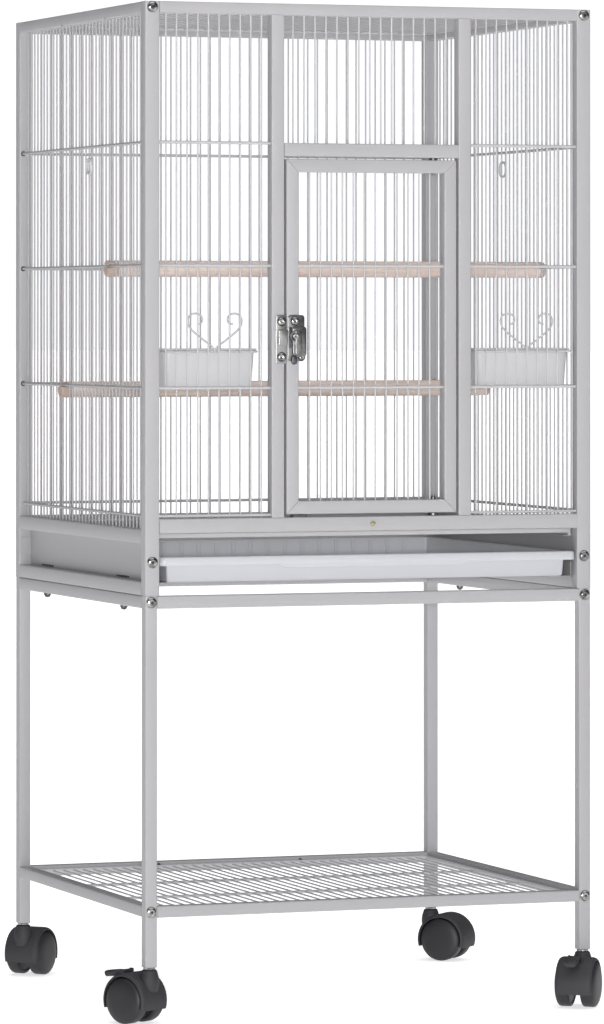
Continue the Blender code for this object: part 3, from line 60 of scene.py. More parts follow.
# %% Cage measure
panel_low, panel_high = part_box("front_panel")
to_world = Matrix.Translation((panel_low[0], panel_low[1], 0.0))
WIDTH = panel_high[0] - panel_low[0]
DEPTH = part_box("back_panel")[1][1] - panel_low[1]
HEIGHT = panel_high[2]
GAP = 0.0003
print("cage measures", round(WIDTH, 4), round(DEPTH, 4), round(HEIGHT, 4))
print("pieces that are bolted together stand", GAP, "apart")

# %% [markdown]
# ## The camera
#
# The photograph was taken with a long lens from seven metres away, a little to the left of the
# door. A long lens keeps the uprights almost parallel. The cage sits low in the picture, so the
# lens is shifted down instead of tilting the camera, which would make the uprights lean.

# %% Camera
camera_data = bpy.data.cameras.new("view_from_left")
camera_data.sensor_width = 36.0
camera_data.lens = 192.98
camera_data.shift_x = 0.00283
camera_data.shift_y = -0.23823
camera_data.clip_start = 0.5
camera_data.clip_end = 400.0
camera = bpy.data.objects.new("view_from_left", camera_data)
camera.location = (-2.586156, -7.143223, 0.9286)
camera.rotation_euler = Euler((math.radians(90.521), 0.0, math.radians(-19.888)))
bpy.context.scene.collection.objects.link(camera)
bpy.context.scene.camera = camera
print("camera is", round(camera.location.length, 2), "m from the origin")

# %% [markdown]
# ## Light
#
# The picture is a bright product shot with white all round, and three lights give it. A wide sun
# overhead lights floor and shelf evenly, which no lamp nearby could do out to the horizon. A weak
# wide sun comes from the front. A flash close to the lens lights every face that the camera sees, so
# wires deep in the cage stay pale and most shadows hide behind what casts them. The surroundings
# look white to the camera but light the cage only gently, so the tubes keep their shape.

# %% Surroundings
SKY_AS_LIGHT = 0.12
SKY_AS_SEEN = 1.10
world = bpy.data.worlds.new("studio")
bpy.context.scene.world = world
world.use_nodes = True
sky = world.node_tree.nodes
backdrop = sky["Background"]
backdrop.inputs["Color"].default_value = (0.965, 0.975, 1.0, 1.0)
ray = sky.new("ShaderNodeLightPath")
level = sky.new("ShaderNodeMapRange")
level.inputs["To Min"].default_value = SKY_AS_LIGHT
level.inputs["To Max"].default_value = SKY_AS_SEEN
world.node_tree.links.new(ray.outputs["Is Camera Ray"], level.inputs["Value"])
world.node_tree.links.new(level.outputs["Result"], backdrop.inputs["Strength"])
bpy.context.scene.view_settings.view_transform = "Standard"
print("surroundings:", SKY_AS_LIGHT, "as light,", SKY_AS_SEEN, "as seen")


# %% Lamps
def add_lamp(name, kind, energy):
    data = bpy.data.lights.new(name, kind)
    data.energy = energy
    lamp = bpy.data.objects.new(name, data)
    bpy.context.scene.collection.objects.link(lamp)
    return lamp


def add_sun(name, strength, spread, direction):
    """A very wide sun: spread is the angle that it fills, direction is where its light goes."""
    sun = add_lamp(name, "SUN", strength)
    sun.data.angle = math.radians(spread)
    sun.rotation_euler = Vector(direction).to_track_quat("-Z", "Y").to_euler()


add_sun("overhead", 1.6, 70, (-0.06, 0.08, -1.0))
add_sun("front_key", 0.32, 60, (-0.10, 1.0, -0.50))
ring_flash = add_lamp("ring_flash", "POINT", 1250.0)
ring_flash.data.shadow_soft_size = 0.12
ring_flash.location = camera.location

# %% [markdown]
# ## A small language for materials
#
# Surfaces are built from nodes, but a page of node wiring is hard to read. The class below wraps
# one socket, so that `0.4 + 0.1 * grain` adds the right Math nodes by itself. A second class holds
# one material: `node` adds any other node, with its settings first and its sockets after.

# %% Shader maths
class Signal:
    """One number, colour or vector that comes out of a node."""

    def __init__(self, finish, socket):
        self.finish = finish
        self.socket = socket

    def maths(self, operation, *values):
        return self.finish.node("ShaderNodeMath", {"operation": operation}, dict(enumerate(values)))

    def __add__(self, other):
        return self.maths("ADD", self, other)

    def __radd__(self, other):
        return self.maths("ADD", other, self)

    def __sub__(self, other):
        return self.maths("SUBTRACT", self, other)

    def __rsub__(self, other):
        return self.maths("SUBTRACT", other, self)

    def __mul__(self, other):
        return self.maths("MULTIPLY", self, other)

    def __rmul__(self, other):
        return self.maths("MULTIPLY", other, self)

    def between(self, low, high):
        """0 at low, 1 at high, and smooth between."""
        sockets = {"Value": self, "From Min": low, "From Max": high}
        return self.finish.node("ShaderNodeMapRange", {"interpolation_type": "SMOOTHSTEP"}, sockets)


# %% Material class
class Finish:
    """One material and its nodes."""

    def __init__(self, name, **fixed):
        self.material = bpy.data.materials.new(name)
        self.material.use_nodes = True
        self.nodes = self.material.node_tree.nodes
        self.links = self.material.node_tree.links
        self.shader = self.nodes["Principled BSDF"]
        for socket, value in fixed.items():
            self.feed(self.shader.inputs[socket.replace("_", " ")], value)
        self.place = self.node("ShaderNodeTexCoord", output="Object")

    def feed(self, socket, value):
        if isinstance(value, Signal):
            self.links.new(value.socket, socket)
        elif isinstance(value, tuple) and len(value) == 3 and socket.type == "RGBA":
            socket.default_value = (*value, 1.0)
        else:
            socket.default_value = value

    def node(self, kind, settings=None, sockets=None, output=0):
        made = self.nodes.new(kind)
        for key, value in (settings or {}).items():
            setattr(made, key, value)
        for key, value in (sockets or {}).items():
            self.feed(made.inputs[key], value)
        return Signal(self, made.outputs[output])

    def stretched(self, size):
        """Object coordinates, scaled along each axis."""
        return self.node("ShaderNodeMapping", None, {"Vector": self.place, "Scale": size})

    def noise(self, scale, detail=2.0, place=None):
        sockets = {"Vector": place or self.place, "Scale": scale, "Detail": detail}
        return self.node("ShaderNodeTexNoise", {"noise_dimensions": "3D"}, sockets)

    def mix(self, low, high, factor):
        """A colour between two colours."""
        sockets = {0: factor, 6: low, 7: high}
        return self.node("ShaderNodeMix", {"data_type": "RGBA", "clamp_factor": True}, sockets, 2)

    def colour(self, value):
        self.feed(self.shader.inputs["Base Color"], value)

    def roughness(self, value):
        self.feed(self.shader.inputs["Roughness"], value)

    def bump(self, height, strength, distance):
        sockets = {"Strength": strength, "Distance": distance, "Height": height}
        self.feed(self.shader.inputs["Normal"], self.node("ShaderNodeBump", None, sockets))


print("material classes ready")

# %% [markdown]
# ## Powder coat
#
# Every tube and wire has the same light grey powder coat. Powder is sprayed on dry and baked, so it
# flows into a skin with a faint orange peel about a millimetre across. It is neither matt nor
# glossy. Two noises do it: a fine one for the peel, and a broad faint one for the thickness of the
# coat, which changes colour and gloss a little over a hand's width. The wires of the front, the
# back, the door, the mats and the cup holders look paler than the tubes because they catch more
# light, so they take a paler copy of the same coat, which is a painted highlight.

# %% Coat material
SPECK = (0.22, 0.22, 0.23)


def make_coat(name, thin, thick):
    coat = Finish(name, Specular_IOR_Level=0.45)
    cloud = coat.noise(9.0, 3.0)
    peel = coat.noise(850.0, 2.0)
    speck = coat.noise(2600.0, 0.0).between(0.70, 0.78)
    coat.colour(coat.mix(coat.mix(thin, thick, cloud), SPECK, 0.25 * speck))
    coat.roughness(0.34 + 0.10 * cloud + 0.08 * peel)
    coat.bump(peel + 0.4 * cloud, 0.16, 0.0004)
    return coat.material


grey_coat = make_coat("grey_powder_coat", (0.325, 0.320, 0.332), (0.350, 0.344, 0.356))
# A paler copy of the same coat: a painted highlight on the wires.
painted_highlight_wire_coat = make_coat("wire_coat_with_painted_highlight", (0.380, 0.376, 0.388), (0.425, 0.420, 0.432))
print("coats:", grey_coat.name, painted_highlight_wire_coat.name)

# %% [markdown]
# ## Plated steel
#
# The latch and the bolts are bright zinc or nickel plate. Pressed plate is never a clean mirror: it
# keeps faint drawing marks, and its gloss is cloudy. The marks are a noise that is squeezed along
# one direction, which leaves long thin streaks.

# %% Plated materials
def make_plate(name, bright, dull, roughness):
    plate = Finish(name, Metallic=1.0)
    cloud = plate.noise(160.0, 4.0)
    streak = plate.noise(1.0, 3.0, plate.stretched((2600.0, 2600.0, 160.0)))
    plate.colour(plate.mix(dull, bright, cloud.between(0.3, 0.65)))
    plate.roughness(roughness + 0.12 * cloud + 0.10 * streak)
    plate.bump(streak + cloud, 0.12, 0.0002)
    return plate.material


bright_plate = make_plate("bright_zinc", (0.40, 0.40, 0.385), (0.12, 0.12, 0.12), 0.10)
keeper_nickel = make_plate("keeper_nickel", (0.27, 0.27, 0.267), (0.26, 0.26, 0.26), 0.20)
latch_nickel = make_plate("latch_nickel", (0.18, 0.18, 0.176), (0.12, 0.12, 0.12), 0.20)
# Mostly painted shade: bolt sockets, rings round rivets, the gap by the hook, runner tabs, pinholes.
dark_steel_and_painted_shade = make_plate("dark_steel_and_painted_shade", (0.10, 0.10, 0.11), (0.05, 0.05, 0.06), 0.30)
nut_steel = make_plate("nut_steel", (0.13, 0.13, 0.135), (0.07, 0.07, 0.075), 0.22)
yellow_zinc = make_plate("yellow_zinc", (0.47, 0.42, 0.20), (0.25, 0.23, 0.13), 0.28)
print("plated finishes made")

# %% [markdown]
# ## Pale dowel
#
# The perches are bare beech or poplar dowels. A dowel shows long grain along its length, short
# darker flecks, and greyer end grain where it was sawn. The long grain is a noise stretched many
# times along the dowel. The sawn ends are a mask on the distance from the middle of the cage.

# %% Wood material
SAWN_END = (WIDTH / 2 - 0.0135, WIDTH / 2 - 0.0100)


def make_wood():
    wood = Finish("pale_dowel", Specular_IOR_Level=0.3)
    grain = wood.noise(1.0, 4.0, wood.stretched((6.0, 150.0, 150.0)))
    fleck = wood.noise(1.0, 1.0, wood.stretched((70.0, 1400.0, 1400.0))).between(0.56, 0.70)
    broad = wood.noise(7.0, 2.0)
    pale = wood.mix((0.560, 0.465, 0.425), (0.690, 0.590, 0.545), grain.between(0.32, 0.68))
    warm = wood.mix(pale, (0.490, 0.385, 0.330), 0.35 * broad)
    across = wood.node("ShaderNodeSeparateXYZ", None, {"Vector": wood.place})
    sawn = across.maths("ABSOLUTE", across).between(*SAWN_END)
    weathered = wood.mix(warm, (0.330, 0.255, 0.215), 0.85 * sawn)
    wood.colour(wood.mix(weathered, (0.340, 0.250, 0.205), 0.40 * fleck))
    wood.roughness(0.58 + 0.16 * grain)
    wood.bump(grain - 0.5 * fleck, 0.35, 0.0005)
    return wood.material


pale_dowel = make_wood()
print("wood:", pale_dowel.name)

# %% [markdown]
# ## Moulded plastics
#
# The cups and the tray are white and smooth; the tray leans a little to blue. The casters are black
# nylon with a fine spark-eroded texture that scatters the light, which is why they look charcoal
# and not black. The wheels are a shade duller than the hoods, with scuffs from the floor.

# %% Plastic materials
def make_plastic(name, base, second, roughness, texture_scale, texture_depth):
    plastic = Finish(name)
    cloud = plastic.noise(14.0, 2.0)
    texture = plastic.noise(texture_scale, 2.0)
    plastic.colour(plastic.mix(base, second, cloud))
    plastic.roughness(roughness + 0.08 * cloud + 0.06 * texture)
    plastic.bump(texture, 0.3, texture_depth)
    return plastic.material


cup_white = make_plastic("cup_white", (0.440, 0.440, 0.450), (0.475, 0.475, 0.483), 0.30, 500.0, 0.0001)
tray_white = make_plastic("tray_white", (0.435, 0.440, 0.466), (0.455, 0.460, 0.484), 0.32, 420.0, 0.0001)
hood_black = make_plastic("hood_black", (0.020, 0.020, 0.023), (0.025, 0.025, 0.029), 0.58, 1900.0, 0.0002)
print("plastics:", cup_white.name, tray_white.name, hood_black.name)


# %% Wheel material
def make_wheel_finish():
    wheel = Finish("wheel_black", Specular_IOR_Level=0.45)
    scuff = wheel.noise(1.0, 4.0, wheel.stretched((240.0, 240.0, 900.0))).between(0.60, 0.80)
    texture = wheel.noise(1500.0, 2.0)
    wheel.colour(wheel.mix((0.012, 0.012, 0.014), (0.030, 0.029, 0.029), 0.5 * scuff))
    wheel.roughness(0.46 + 0.20 * scuff + 0.05 * texture)
    wheel.bump(texture - scuff, 0.3, 0.0002)
    return wheel.material


wheel_black = make_wheel_finish()
print("wheels:", wheel_black.name)

# %% [markdown]
# ## The floor
#
# A plain pale sheet that runs to the horizon. It belongs to the studio, not to the cage. It glows a
# little of itself, so that it stays white where the suns are weak, and it lies half a millimetre low
# to keep clear of the wheels.

# %% Floor
FLOOR_RADIUS = 150.0
FLOOR_LEVEL = -0.0005


def make_floor():
    shell = bmesh.new()
    bmesh.ops.create_circle(shell, cap_ends=True, segments=64, radius=FLOOR_RADIUS)
    bmesh.ops.translate(shell, verts=shell.verts, vec=(0.0, 0.0, FLOOR_LEVEL))
    mesh = bpy.data.meshes.new("studio_floor")
    shell.to_mesh(mesh)
    shell.free()
    floor = bpy.data.objects.new("studio_floor", mesh)
    bpy.context.scene.collection.objects.link(floor)
    paper = Finish("floor_paper", Roughness=0.9, Specular_IOR_Level=0.0, Emission_Strength=0.62)
    paper.feed(paper.shader.inputs["Emission Color"], (1.0, 1.0, 1.0))
    paper.colour(paper.mix((0.93, 0.93, 0.94), (0.95, 0.95, 0.95), paper.noise(3.0)))
    mesh.materials.append(paper.material)
    print("floor of", len(mesh.polygons), "face")


make_floor()

# %% [markdown]
# ## Making pieces
#
# Each piece is drawn in one bmesh in cage measure and then finished by one function, which moves it
# to the world, turns its faces outwards, gives it a smooth shading with sharp edges where the form
# turns quickly, puts on its material, ties it to the body that carries it and hides the CAD node
# that it stands in for.


def finish_piece(name, shell, material, node=None, body="frame", sharp=32):
    """Makes an object of a drawn shell. It stands in for a node of the CAD model, if one is named."""
    bmesh.ops.transform(shell, matrix=to_world, verts=shell.verts)
    bmesh.ops.recalc_face_normals(shell, faces=shell.faces)
    mesh = bpy.data.meshes.new(name)
    shell.to_mesh(mesh)
    shell.free()
    mesh.shade_smooth()
    mesh.set_sharp_from_angle(angle=math.radians(sharp))
    mesh.materials.append(material)
    piece = bpy.data.objects.new(name, mesh)
    bpy.context.scene.collection.objects.link(piece)
    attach(piece, body)
    if node:
        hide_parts(node)
    print(f"{name}: {len(mesh.polygons)} faces")


# %% Shell helpers
def join_shells(shell, made):
    """Adds a finished shell to another and frees it."""
    mesh = bpy.data.meshes.new("joined")
    made.to_mesh(mesh)
    made.free()
    shell.from_mesh(mesh)
    bpy.data.meshes.remove(mesh)


def only(kind, items):
    """The vertices, edges or faces among what an operator made."""
    return [item for item in items if isinstance(item, kind)]


def edges_of(verts):
    """Every edge at some vertices, once each and always in the same order."""
    return list(dict.fromkeys(edge for vertex in verts for edge in vertex.link_edges))


def round_off(shell, geometry, offset, segments=1, affect="EDGES"):
    bmesh.ops.bevel(
        shell, geom=geometry, offset=offset, affect=affect, segments=segments, profile=0.5, material=-1
    )


print("helpers ready")

# %% [markdown]
# ## Square tube
#
# Thin-walled square tube is rolled from strip, so its long edges are round, with a radius a little
# over the wall's thickness. A cube is stretched to size and only its four long edges are bevelled.
# The cut ends stay flat, because each one is welded against another tube. Sheet and small blocks
# are the same cube with every edge broken.

# %% Tube helpers
TUBE_CORNER = 0.0017
SHEET_EDGE = 0.0004
THIN_EDGE = 0.0003


def stretched_cube(shell, low, high):
    """A cube from a low corner to a high one. Gives back its edges."""
    low, high = Vector(low), Vector(high)
    stretch = Matrix.Translation((low + high) / 2) @ Matrix.Diagonal((*(high - low), 1.0))
    return edges_of(bmesh.ops.create_cube(shell, size=1.0, matrix=stretch)["verts"])


def add_tube(shell, low, high, along, corner=TUBE_CORNER):
    axis = "xyz".index(along)
    edges = stretched_cube(shell, low, high)
    long_edges = [e for e in edges if abs(e.verts[0].co[axis] - e.verts[1].co[axis]) > 1e-5]
    round_off(shell, long_edges, corner, 3)


def add_box(shell, low, high, corner=SHEET_EDGE):
    """A small block with every edge broken."""
    round_off(shell, stretched_cube(shell, low, high), corner)


# %% Frame helper
def add_frame(shell, edge, post, near, far, low, high, rails):
    """Two uprights, an edge's width in from the cage's sides, and the level tubes between them."""
    for left in (edge, WIDTH - edge - post):
        add_tube(shell, (left, near, low), (left + post, far, high), "z")
    for rail_low, rail_high in rails:
        add_tube(shell, (edge + post, near, rail_low), (WIDTH - edge - post, far, rail_high), "x")


print("tube corners:", TUBE_CORNER)

# %% [markdown]
# ## Wire
#
# The bars are drawn wire, round and smooth. There are nearly three hundred of them, so each one is
# a cylinder of eight sides, which smooth shading makes round. They reach two millimetres into the
# tubes, where the real ones are pushed into punched holes.

# %% Wire helper
WIRE = 0.0024
ROD = 0.0040
THIN_ROD = 0.0030
ROD_SIDES = 12
INTO_TUBE = 0.002


def add_wire(shell, start, end, diameter=WIRE, sides=8):
    start, end = Vector(start), Vector(end)
    run = end - start
    turn = run.to_track_quat("Z", "Y").to_matrix().to_4x4()
    made = bmesh.ops.create_cone(
        shell,
        cap_ends=True,
        segments=sides,
        radius1=diameter / 2,
        radius2=diameter / 2,
        depth=run.length,
        matrix=Matrix.Translation((start + end) / 2) @ turn,
    )
    return made["verts"]


def evenly(low, high, pitch, margin):
    """Places for wires: an even pitch, centred between low and high."""
    count = int((high - low - 2 * margin) / pitch) + 1
    first = (low + high - (count - 1) * pitch) / 2
    return [first + i * pitch for i in range(count)]


# %% [markdown]
# ## Where things stand in the cage
#
# These are the few levels and lines that the pieces share: the heights of the rails, the posts that
# frame the door, and the cross rods that tie the wires together.

# %% Shared levels
CAGE_FLOOR = 0.563
STILE = 0.020
PANEL = 0.018
MIDDLE = PANEL / 2
TOP_RAIL = HEIGHT - 0.0155
BOTTOM_RAIL_TOP = 0.581
MIDDLE_RAIL = (0.631, 0.650)
SILL = (0.6447, 0.664)
HEAD = (1.143, 1.161)
LEFT_POST = (0.1766, 0.1946)
RIGHT_POST = (0.4430, 0.4610)
ROD_HEIGHTS = (0.6675, 0.836, 0.998, 1.1605)
ROD_LINE = MIDDLE - WIRE / 2 - ROD / 2
PITCH = 0.01485
DOOR_PITCH = 0.0156
MARGIN = 0.009
SIDES = ("left", "right")

front_sections = ((STILE, LEFT_POST[0]), (RIGHT_POST[1], WIDTH - STILE))
print("wires each side of the door:", [len(evenly(*s, PITCH, MARGIN)) for s in front_sections])

# %% [markdown]
# ## Wire grilles
#
# All the upright panels are filled the same way: wires on the panel's middle line, and cross rods in
# front of them. Each crossing is spot-welded, which leaves a small flattened nugget, here a low bead
# between rod and wire. A grille is drawn as it stands in the front panel, and then turned to the
# back or to a side by swapping or mirroring its axes.

# %% Grille helper
WELD = 0.0034
SWAP_AXES = Matrix(((0, 1, 0, 0), (1, 0, 0, 0), (0, 0, 1, 0), (0, 0, 0, 1)))


def add_weld(shell, place):
    matrix = Matrix.Translation(place) @ Matrix.Diagonal((1.0, 0.8, 0.75, 1.0))
    bmesh.ops.create_icosphere(shell, subdivisions=1, radius=WELD / 2, matrix=matrix)


def add_grille(shell, span, foot, head, pitch=PITCH, margin=MARGIN, rods=(), reach=INTO_TUBE):
    """Wires from foot to head across a span. The rods reach past the span's ends."""
    places = evenly(*span, pitch, margin)
    for x in places:
        add_wire(shell, (x, MIDDLE, foot - INTO_TUBE), (x, MIDDLE, head + INTO_TUBE))
    for z in rods:
        ends = [(span[0] - reach, ROD_LINE, z), (span[1] + reach, ROD_LINE, z)]
        add_wire(shell, *ends, ROD, ROD_SIDES)
        for x in places:
            add_weld(shell, (x, MIDDLE - WIRE / 2, z))


print("weld beads:", WELD)

# %% [markdown]
# ## Front panel
#
# The front is one welded frame. The two stiles run the full height and every level tube butts
# against an upright, so the joints are plain T joints. A small steel pad on the sill takes the
# weight of the door's free corner.

# %% Front frame
REST_PAD = ((0.2075, 0.0010, SILL[1] - 0.001), (0.2270, 0.0150, SILL[1] + 0.0037))


def make_front_frame():
    shell = bmesh.new()
    add_frame(shell, 0.0, STILE, 0.0, PANEL, CAGE_FLOOR, HEIGHT, ((TOP_RAIL, HEIGHT), SILL))
    for left, right in (LEFT_POST, RIGHT_POST):
        add_tube(shell, (left, 0, SILL[1]), (right, PANEL, TOP_RAIL), "z")
    add_tube(shell, (LEFT_POST[1], 0, HEAD[0]), (RIGHT_POST[0], PANEL, HEAD[1]), "x")
    finish_piece("front_frame", shell, grey_coat, "front_panel")
    pad = bmesh.new()
    add_box(pad, *REST_PAD, 0.0006)
    finish_piece("rest_pad", pad, nut_steel)


make_front_frame()


# %% Front wires
def make_front_wires():
    shell = bmesh.new()
    for section in front_sections:
        add_grille(shell, section, SILL[1], TOP_RAIL, rods=ROD_HEIGHTS)
    add_grille(shell, (LEFT_POST[1], RIGHT_POST[0]), HEAD[1], TOP_RAIL, DOOR_PITCH)
    finish_piece("front_wires", shell, painted_highlight_wire_coat, "front_panel")


make_front_wires()

# %% [markdown]
# ## Back panel
#
# The back has the same stiles, but no door: wires run across the whole width above a sheet plate.
# The plate sits behind the front face of the tubes, so the rails stand proud of it.

# %% Back frame
SHEET = 0.0012
PANEL_RAILS = ((CAGE_FLOOR, BOTTOM_RAIL_TOP), MIDDLE_RAIL, (TOP_RAIL, HEIGHT))
PLATE_LEVELS = (BOTTOM_RAIL_TOP - INTO_TUBE, MIDDLE_RAIL[0] + INTO_TUBE)


def make_back_frame():
    shell = bmesh.new()
    near, far = DEPTH - PANEL, DEPTH
    add_frame(shell, 0.0, STILE, near, far, CAGE_FLOOR, HEIGHT, PANEL_RAILS)
    plate = near + 0.0004
    left, right = STILE - INTO_TUBE, WIDTH - STILE + INTO_TUBE
    add_box(shell, (left, plate, PLATE_LEVELS[0]), (right, plate + SHEET, PLATE_LEVELS[1]))
    finish_piece("back_frame", shell, grey_coat, "back_panel")


make_back_frame()


# %% Back wires
def make_back_wires():
    shell = bmesh.new()
    add_grille(shell, (STILE, WIDTH - STILE), MIDDLE_RAIL[1], TOP_RAIL, rods=ROD_HEIGHTS)
    to_back = Matrix.Translation((0, DEPTH, 0)) @ Matrix.Diagonal((1.0, -1.0, 1.0, 1.0))
    bmesh.ops.transform(shell, matrix=to_back, verts=shell.verts)
    finish_piece("back_wires", shell, painted_highlight_wire_coat, "back_panel")


make_back_wires()

# %% [markdown]
# ## Side panels
#
# A side is three rails, a sheet plate between the lower two, and wires above. The plate is pressed
# in against the inner face, with two slots through which the tray runner's tabs show. A ledge inside
# carries the grate, and two lugs take the bolts. The right side is the left one mirrored.

# %% Side helper
SIDE_FRONT = PANEL + GAP
SIDE_BACK = DEPTH - PANEL - GAP
PLATE_X = PANEL - SHEET
TAB_MIDDLES = (0.146, 0.4845)
TAB_LENGTH = 0.052
TAB_LOW = 0.582


def to_side(shell, side):
    """Leaves a left-hand piece as it is, or mirrors it for the right side."""
    if side == "right":
        flip = Matrix.Translation((WIDTH, 0, 0)) @ Matrix.Diagonal((-1.0, 1.0, 1.0, 1.0))
        bmesh.ops.transform(shell, matrix=flip, verts=shell.verts)


# %% Side frames
SLOT_TOP = TAB_LOW + 0.0022
SLOT_HALF = TAB_LENGTH / 2 + 0.0006
PLATE_EDGE = 0.0001
LEDGE = (0.6333, 0.6345)
LEDGE_X = 0.0302
LEDGE_INSET = 0.006
LUG = (0.595, 0.619)
LUG_REACH = 0.015
LUG_GAP = 0.0006


def add_slotted_plate(shell):
    """The side's sheet plate: one strip above the slots and three pieces between and beside them."""
    inner = PANEL - 0.0002
    stops = [SIDE_FRONT]
    for middle in TAB_MIDDLES:
        stops += [middle - SLOT_HALF, middle + SLOT_HALF]
    stops.append(SIDE_BACK)
    add_box(shell, (PLATE_X, SIDE_FRONT, SLOT_TOP), (inner, SIDE_BACK, PLATE_LEVELS[1]), PLATE_EDGE)
    for start, end in zip(stops[0::2], stops[1::2]):
        add_box(shell, (PLATE_X, start, PLATE_LEVELS[0]), (inner, end, SLOT_TOP), PLATE_EDGE)


def make_side_frame(side):
    shell = bmesh.new()
    for low, high in PANEL_RAILS:
        add_tube(shell, (0, SIDE_FRONT, low), (PANEL, SIDE_BACK, high), "y")
    add_slotted_plate(shell)
    near, far = SIDE_FRONT + LEDGE_INSET, SIDE_BACK - LEDGE_INSET
    add_box(shell, (PLATE_X, near, LEDGE[0]), (LEDGE_X, far, LEDGE[1]))
    for y in (SIDE_FRONT + LUG_GAP, SIDE_BACK - LUG_GAP - SHEET):
        add_box(shell, (PLATE_X - LUG_REACH, y, LUG[0]), (PLATE_X, y + SHEET, LUG[1]), THIN_EDGE)
    to_side(shell, side)
    finish_piece(f"side_frame_{side}", shell, grey_coat, f"side_panel_{side}")


# %% Side wires
side_span = (PANEL, DEPTH - PANEL)


def make_side_wires(side):
    shell = bmesh.new()
    add_grille(shell, side_span, MIDDLE_RAIL[1], TOP_RAIL, rods=ROD_HEIGHTS, reach=-GAP)
    bmesh.ops.transform(shell, matrix=SWAP_AXES, verts=shell.verts)
    to_side(shell, side)
    finish_piece(f"side_wires_{side}", shell, grey_coat, f"side_panel_{side}")


for side in SIDES:
    make_side_frame(side)
    make_side_wires(side)

# %% [markdown]
# ## Flat mats
#
# Roof, shelf and grate are mats: wires from front to back at one level and a few rods across them,
# above or below. Roof and shelf have an edge of flat bar.

# %% Mat helpers
def add_flat_edge(shell, low, high, bar, corner):
    """Four flat bars round a mat. The side bars butt against the front and back ones."""
    left, near, bottom = low
    right, far, top = high
    for y in (near, far - bar):
        add_tube(shell, (left, y, bottom), (right, y + bar, top), "x", corner)
    for x in (left, right - bar):
        add_tube(shell, (x, near + bar, bottom), (x + bar, far - bar, top), "y", corner)


def add_mat(shell, low, high, z, wires, rods, rod_z, rod):
    """Low and high are the (x, y) that the wires and rods reach to."""
    for x in wires:
        add_wire(shell, (x, low[1], z), (x, high[1], z))
    for y in rods:
        add_wire(shell, (low[0], y, rod_z), (high[0], y, rod_z), rod, ROD_SIDES)


print("rods across the mats:", THIN_ROD, "or", ROD)

# %% [markdown]
# ## Top panel
#
# The roof drops between the top rails, with two thin rods across its wires. From below one sees the
# wires against the bright ceiling.

# %% Roof
ROOF_LOW = TOP_RAIL + 0.0075
ROOF_HIGH = ROOF_LOW + 0.005
ROOF_BAR = 0.008


def make_roof():
    shell = bmesh.new()
    near, far = SIDE_FRONT, SIDE_BACK
    left, right = PANEL + GAP, WIDTH - PANEL - GAP
    add_flat_edge(shell, (left, near, ROOF_LOW), (right, far, ROOF_HIGH), ROOF_BAR, 0.0008)
    middle = (ROOF_LOW + ROOF_HIGH) / 2
    wires = evenly(PANEL, WIDTH - PANEL, PITCH, MARGIN + ROOF_BAR)
    rods = [near + (far - near) * share for share in (1 / 3, 2 / 3)]
    reach = ROOF_BAR - INTO_TUBE
    low, high = (left + reach, near + reach), (right - reach, far - reach)
    add_mat(shell, low, high, middle, wires, rods, middle + WIRE / 2 + THIN_ROD / 2, THIN_ROD)
    finish_piece("roof", shell, painted_highlight_wire_coat, "top_panel")


make_roof()

# %% [markdown]
# ## Door
#
# The door is a ring of the same tube, with its corners cut at 45 degrees and welded. It turns on
# two screws that stand in the sill and the head near its right edge. A mitred corner shows as a
# thin line across the tube, so each of the four tubes is made a little long and its ends are cut by
# a plane at 45 degrees.

# %% Mitre helper
MITRE_GAP = 0.0002


def cut_away(shell, place, outward):
    """Cuts away what lies beyond a plane and closes the cut."""
    geometry = [*shell.verts, *shell.edges, *shell.faces]
    made = bmesh.ops.bisect_plane(
        shell, geom=geometry, dist=1e-6, plane_co=place, plane_no=outward, clear_outer=True
    )
    bmesh.ops.edgeloop_fill(shell, edges=only(bmesh.types.BMEdge, made["geom_cut"]))


def mitre(tube, x, z, outward):
    """Cuts a tube's end at 45 degrees through a corner, a hair short of its neighbour."""
    outward = Vector(outward).normalized()
    cut_away(tube, Vector((x, 0, z)) - MITRE_GAP * outward, outward)


# %% Door frame
DOOR = ((0.1974, 0.668), (0.4402, 1.140))
DOOR_TUBE = 0.0175
DOOR_DEPTH = (0.0005, 0.0175)


def make_door_frame():
    (left, low), (right, high) = DOOR
    near, far = DOOR_DEPTH
    shell = bmesh.new()
    for z, up in ((low, -1), (high, 1)):
        tube = bmesh.new()
        bottom, top = sorted((z, z - up * DOOR_TUBE))
        add_tube(tube, (left, near, bottom), (right, far, top), "x")
        mitre(tube, left, z, (-1, 0, -up))
        mitre(tube, right, z, (1, 0, -up))
        join_shells(shell, tube)
    for x, out in ((left, -1), (right, 1)):
        tube = bmesh.new()
        start, end = sorted((x, x - out * DOOR_TUBE))
        add_tube(tube, (start, near, low), (end, far, high), "z")
        mitre(tube, x, low, (-out, 0, -1))
        mitre(tube, x, high, (-out, 0, 1))
        join_shells(shell, tube)
    finish_piece("door_frame", shell, grey_coat, "door", "door")


make_door_frame()

# %% Door wires
DOOR_MARGIN = 0.015


def make_door_wires():
    shell = bmesh.new()
    (left, low), (right, high) = DOOR
    span = (left + DOOR_TUBE, right - DOOR_TUBE)
    foot, head = low + DOOR_TUBE, high - DOOR_TUBE
    add_grille(shell, span, foot, head, DOOR_PITCH, DOOR_MARGIN, ROD_HEIGHTS[1:3])
    finish_piece("door_wires", shell, painted_highlight_wire_coat, "door", "door")


make_door_wires()

# %% [markdown]
# ## Turned pieces
#
# Screws, nuts, washers and wheels are turned on a lathe or moulded round an axis. They are drawn as
# a half outline, a chain of edges, that `spin` carries once round the axis. The outlines of small
# pieces are written in millimetres, as a lathe hand would read them.

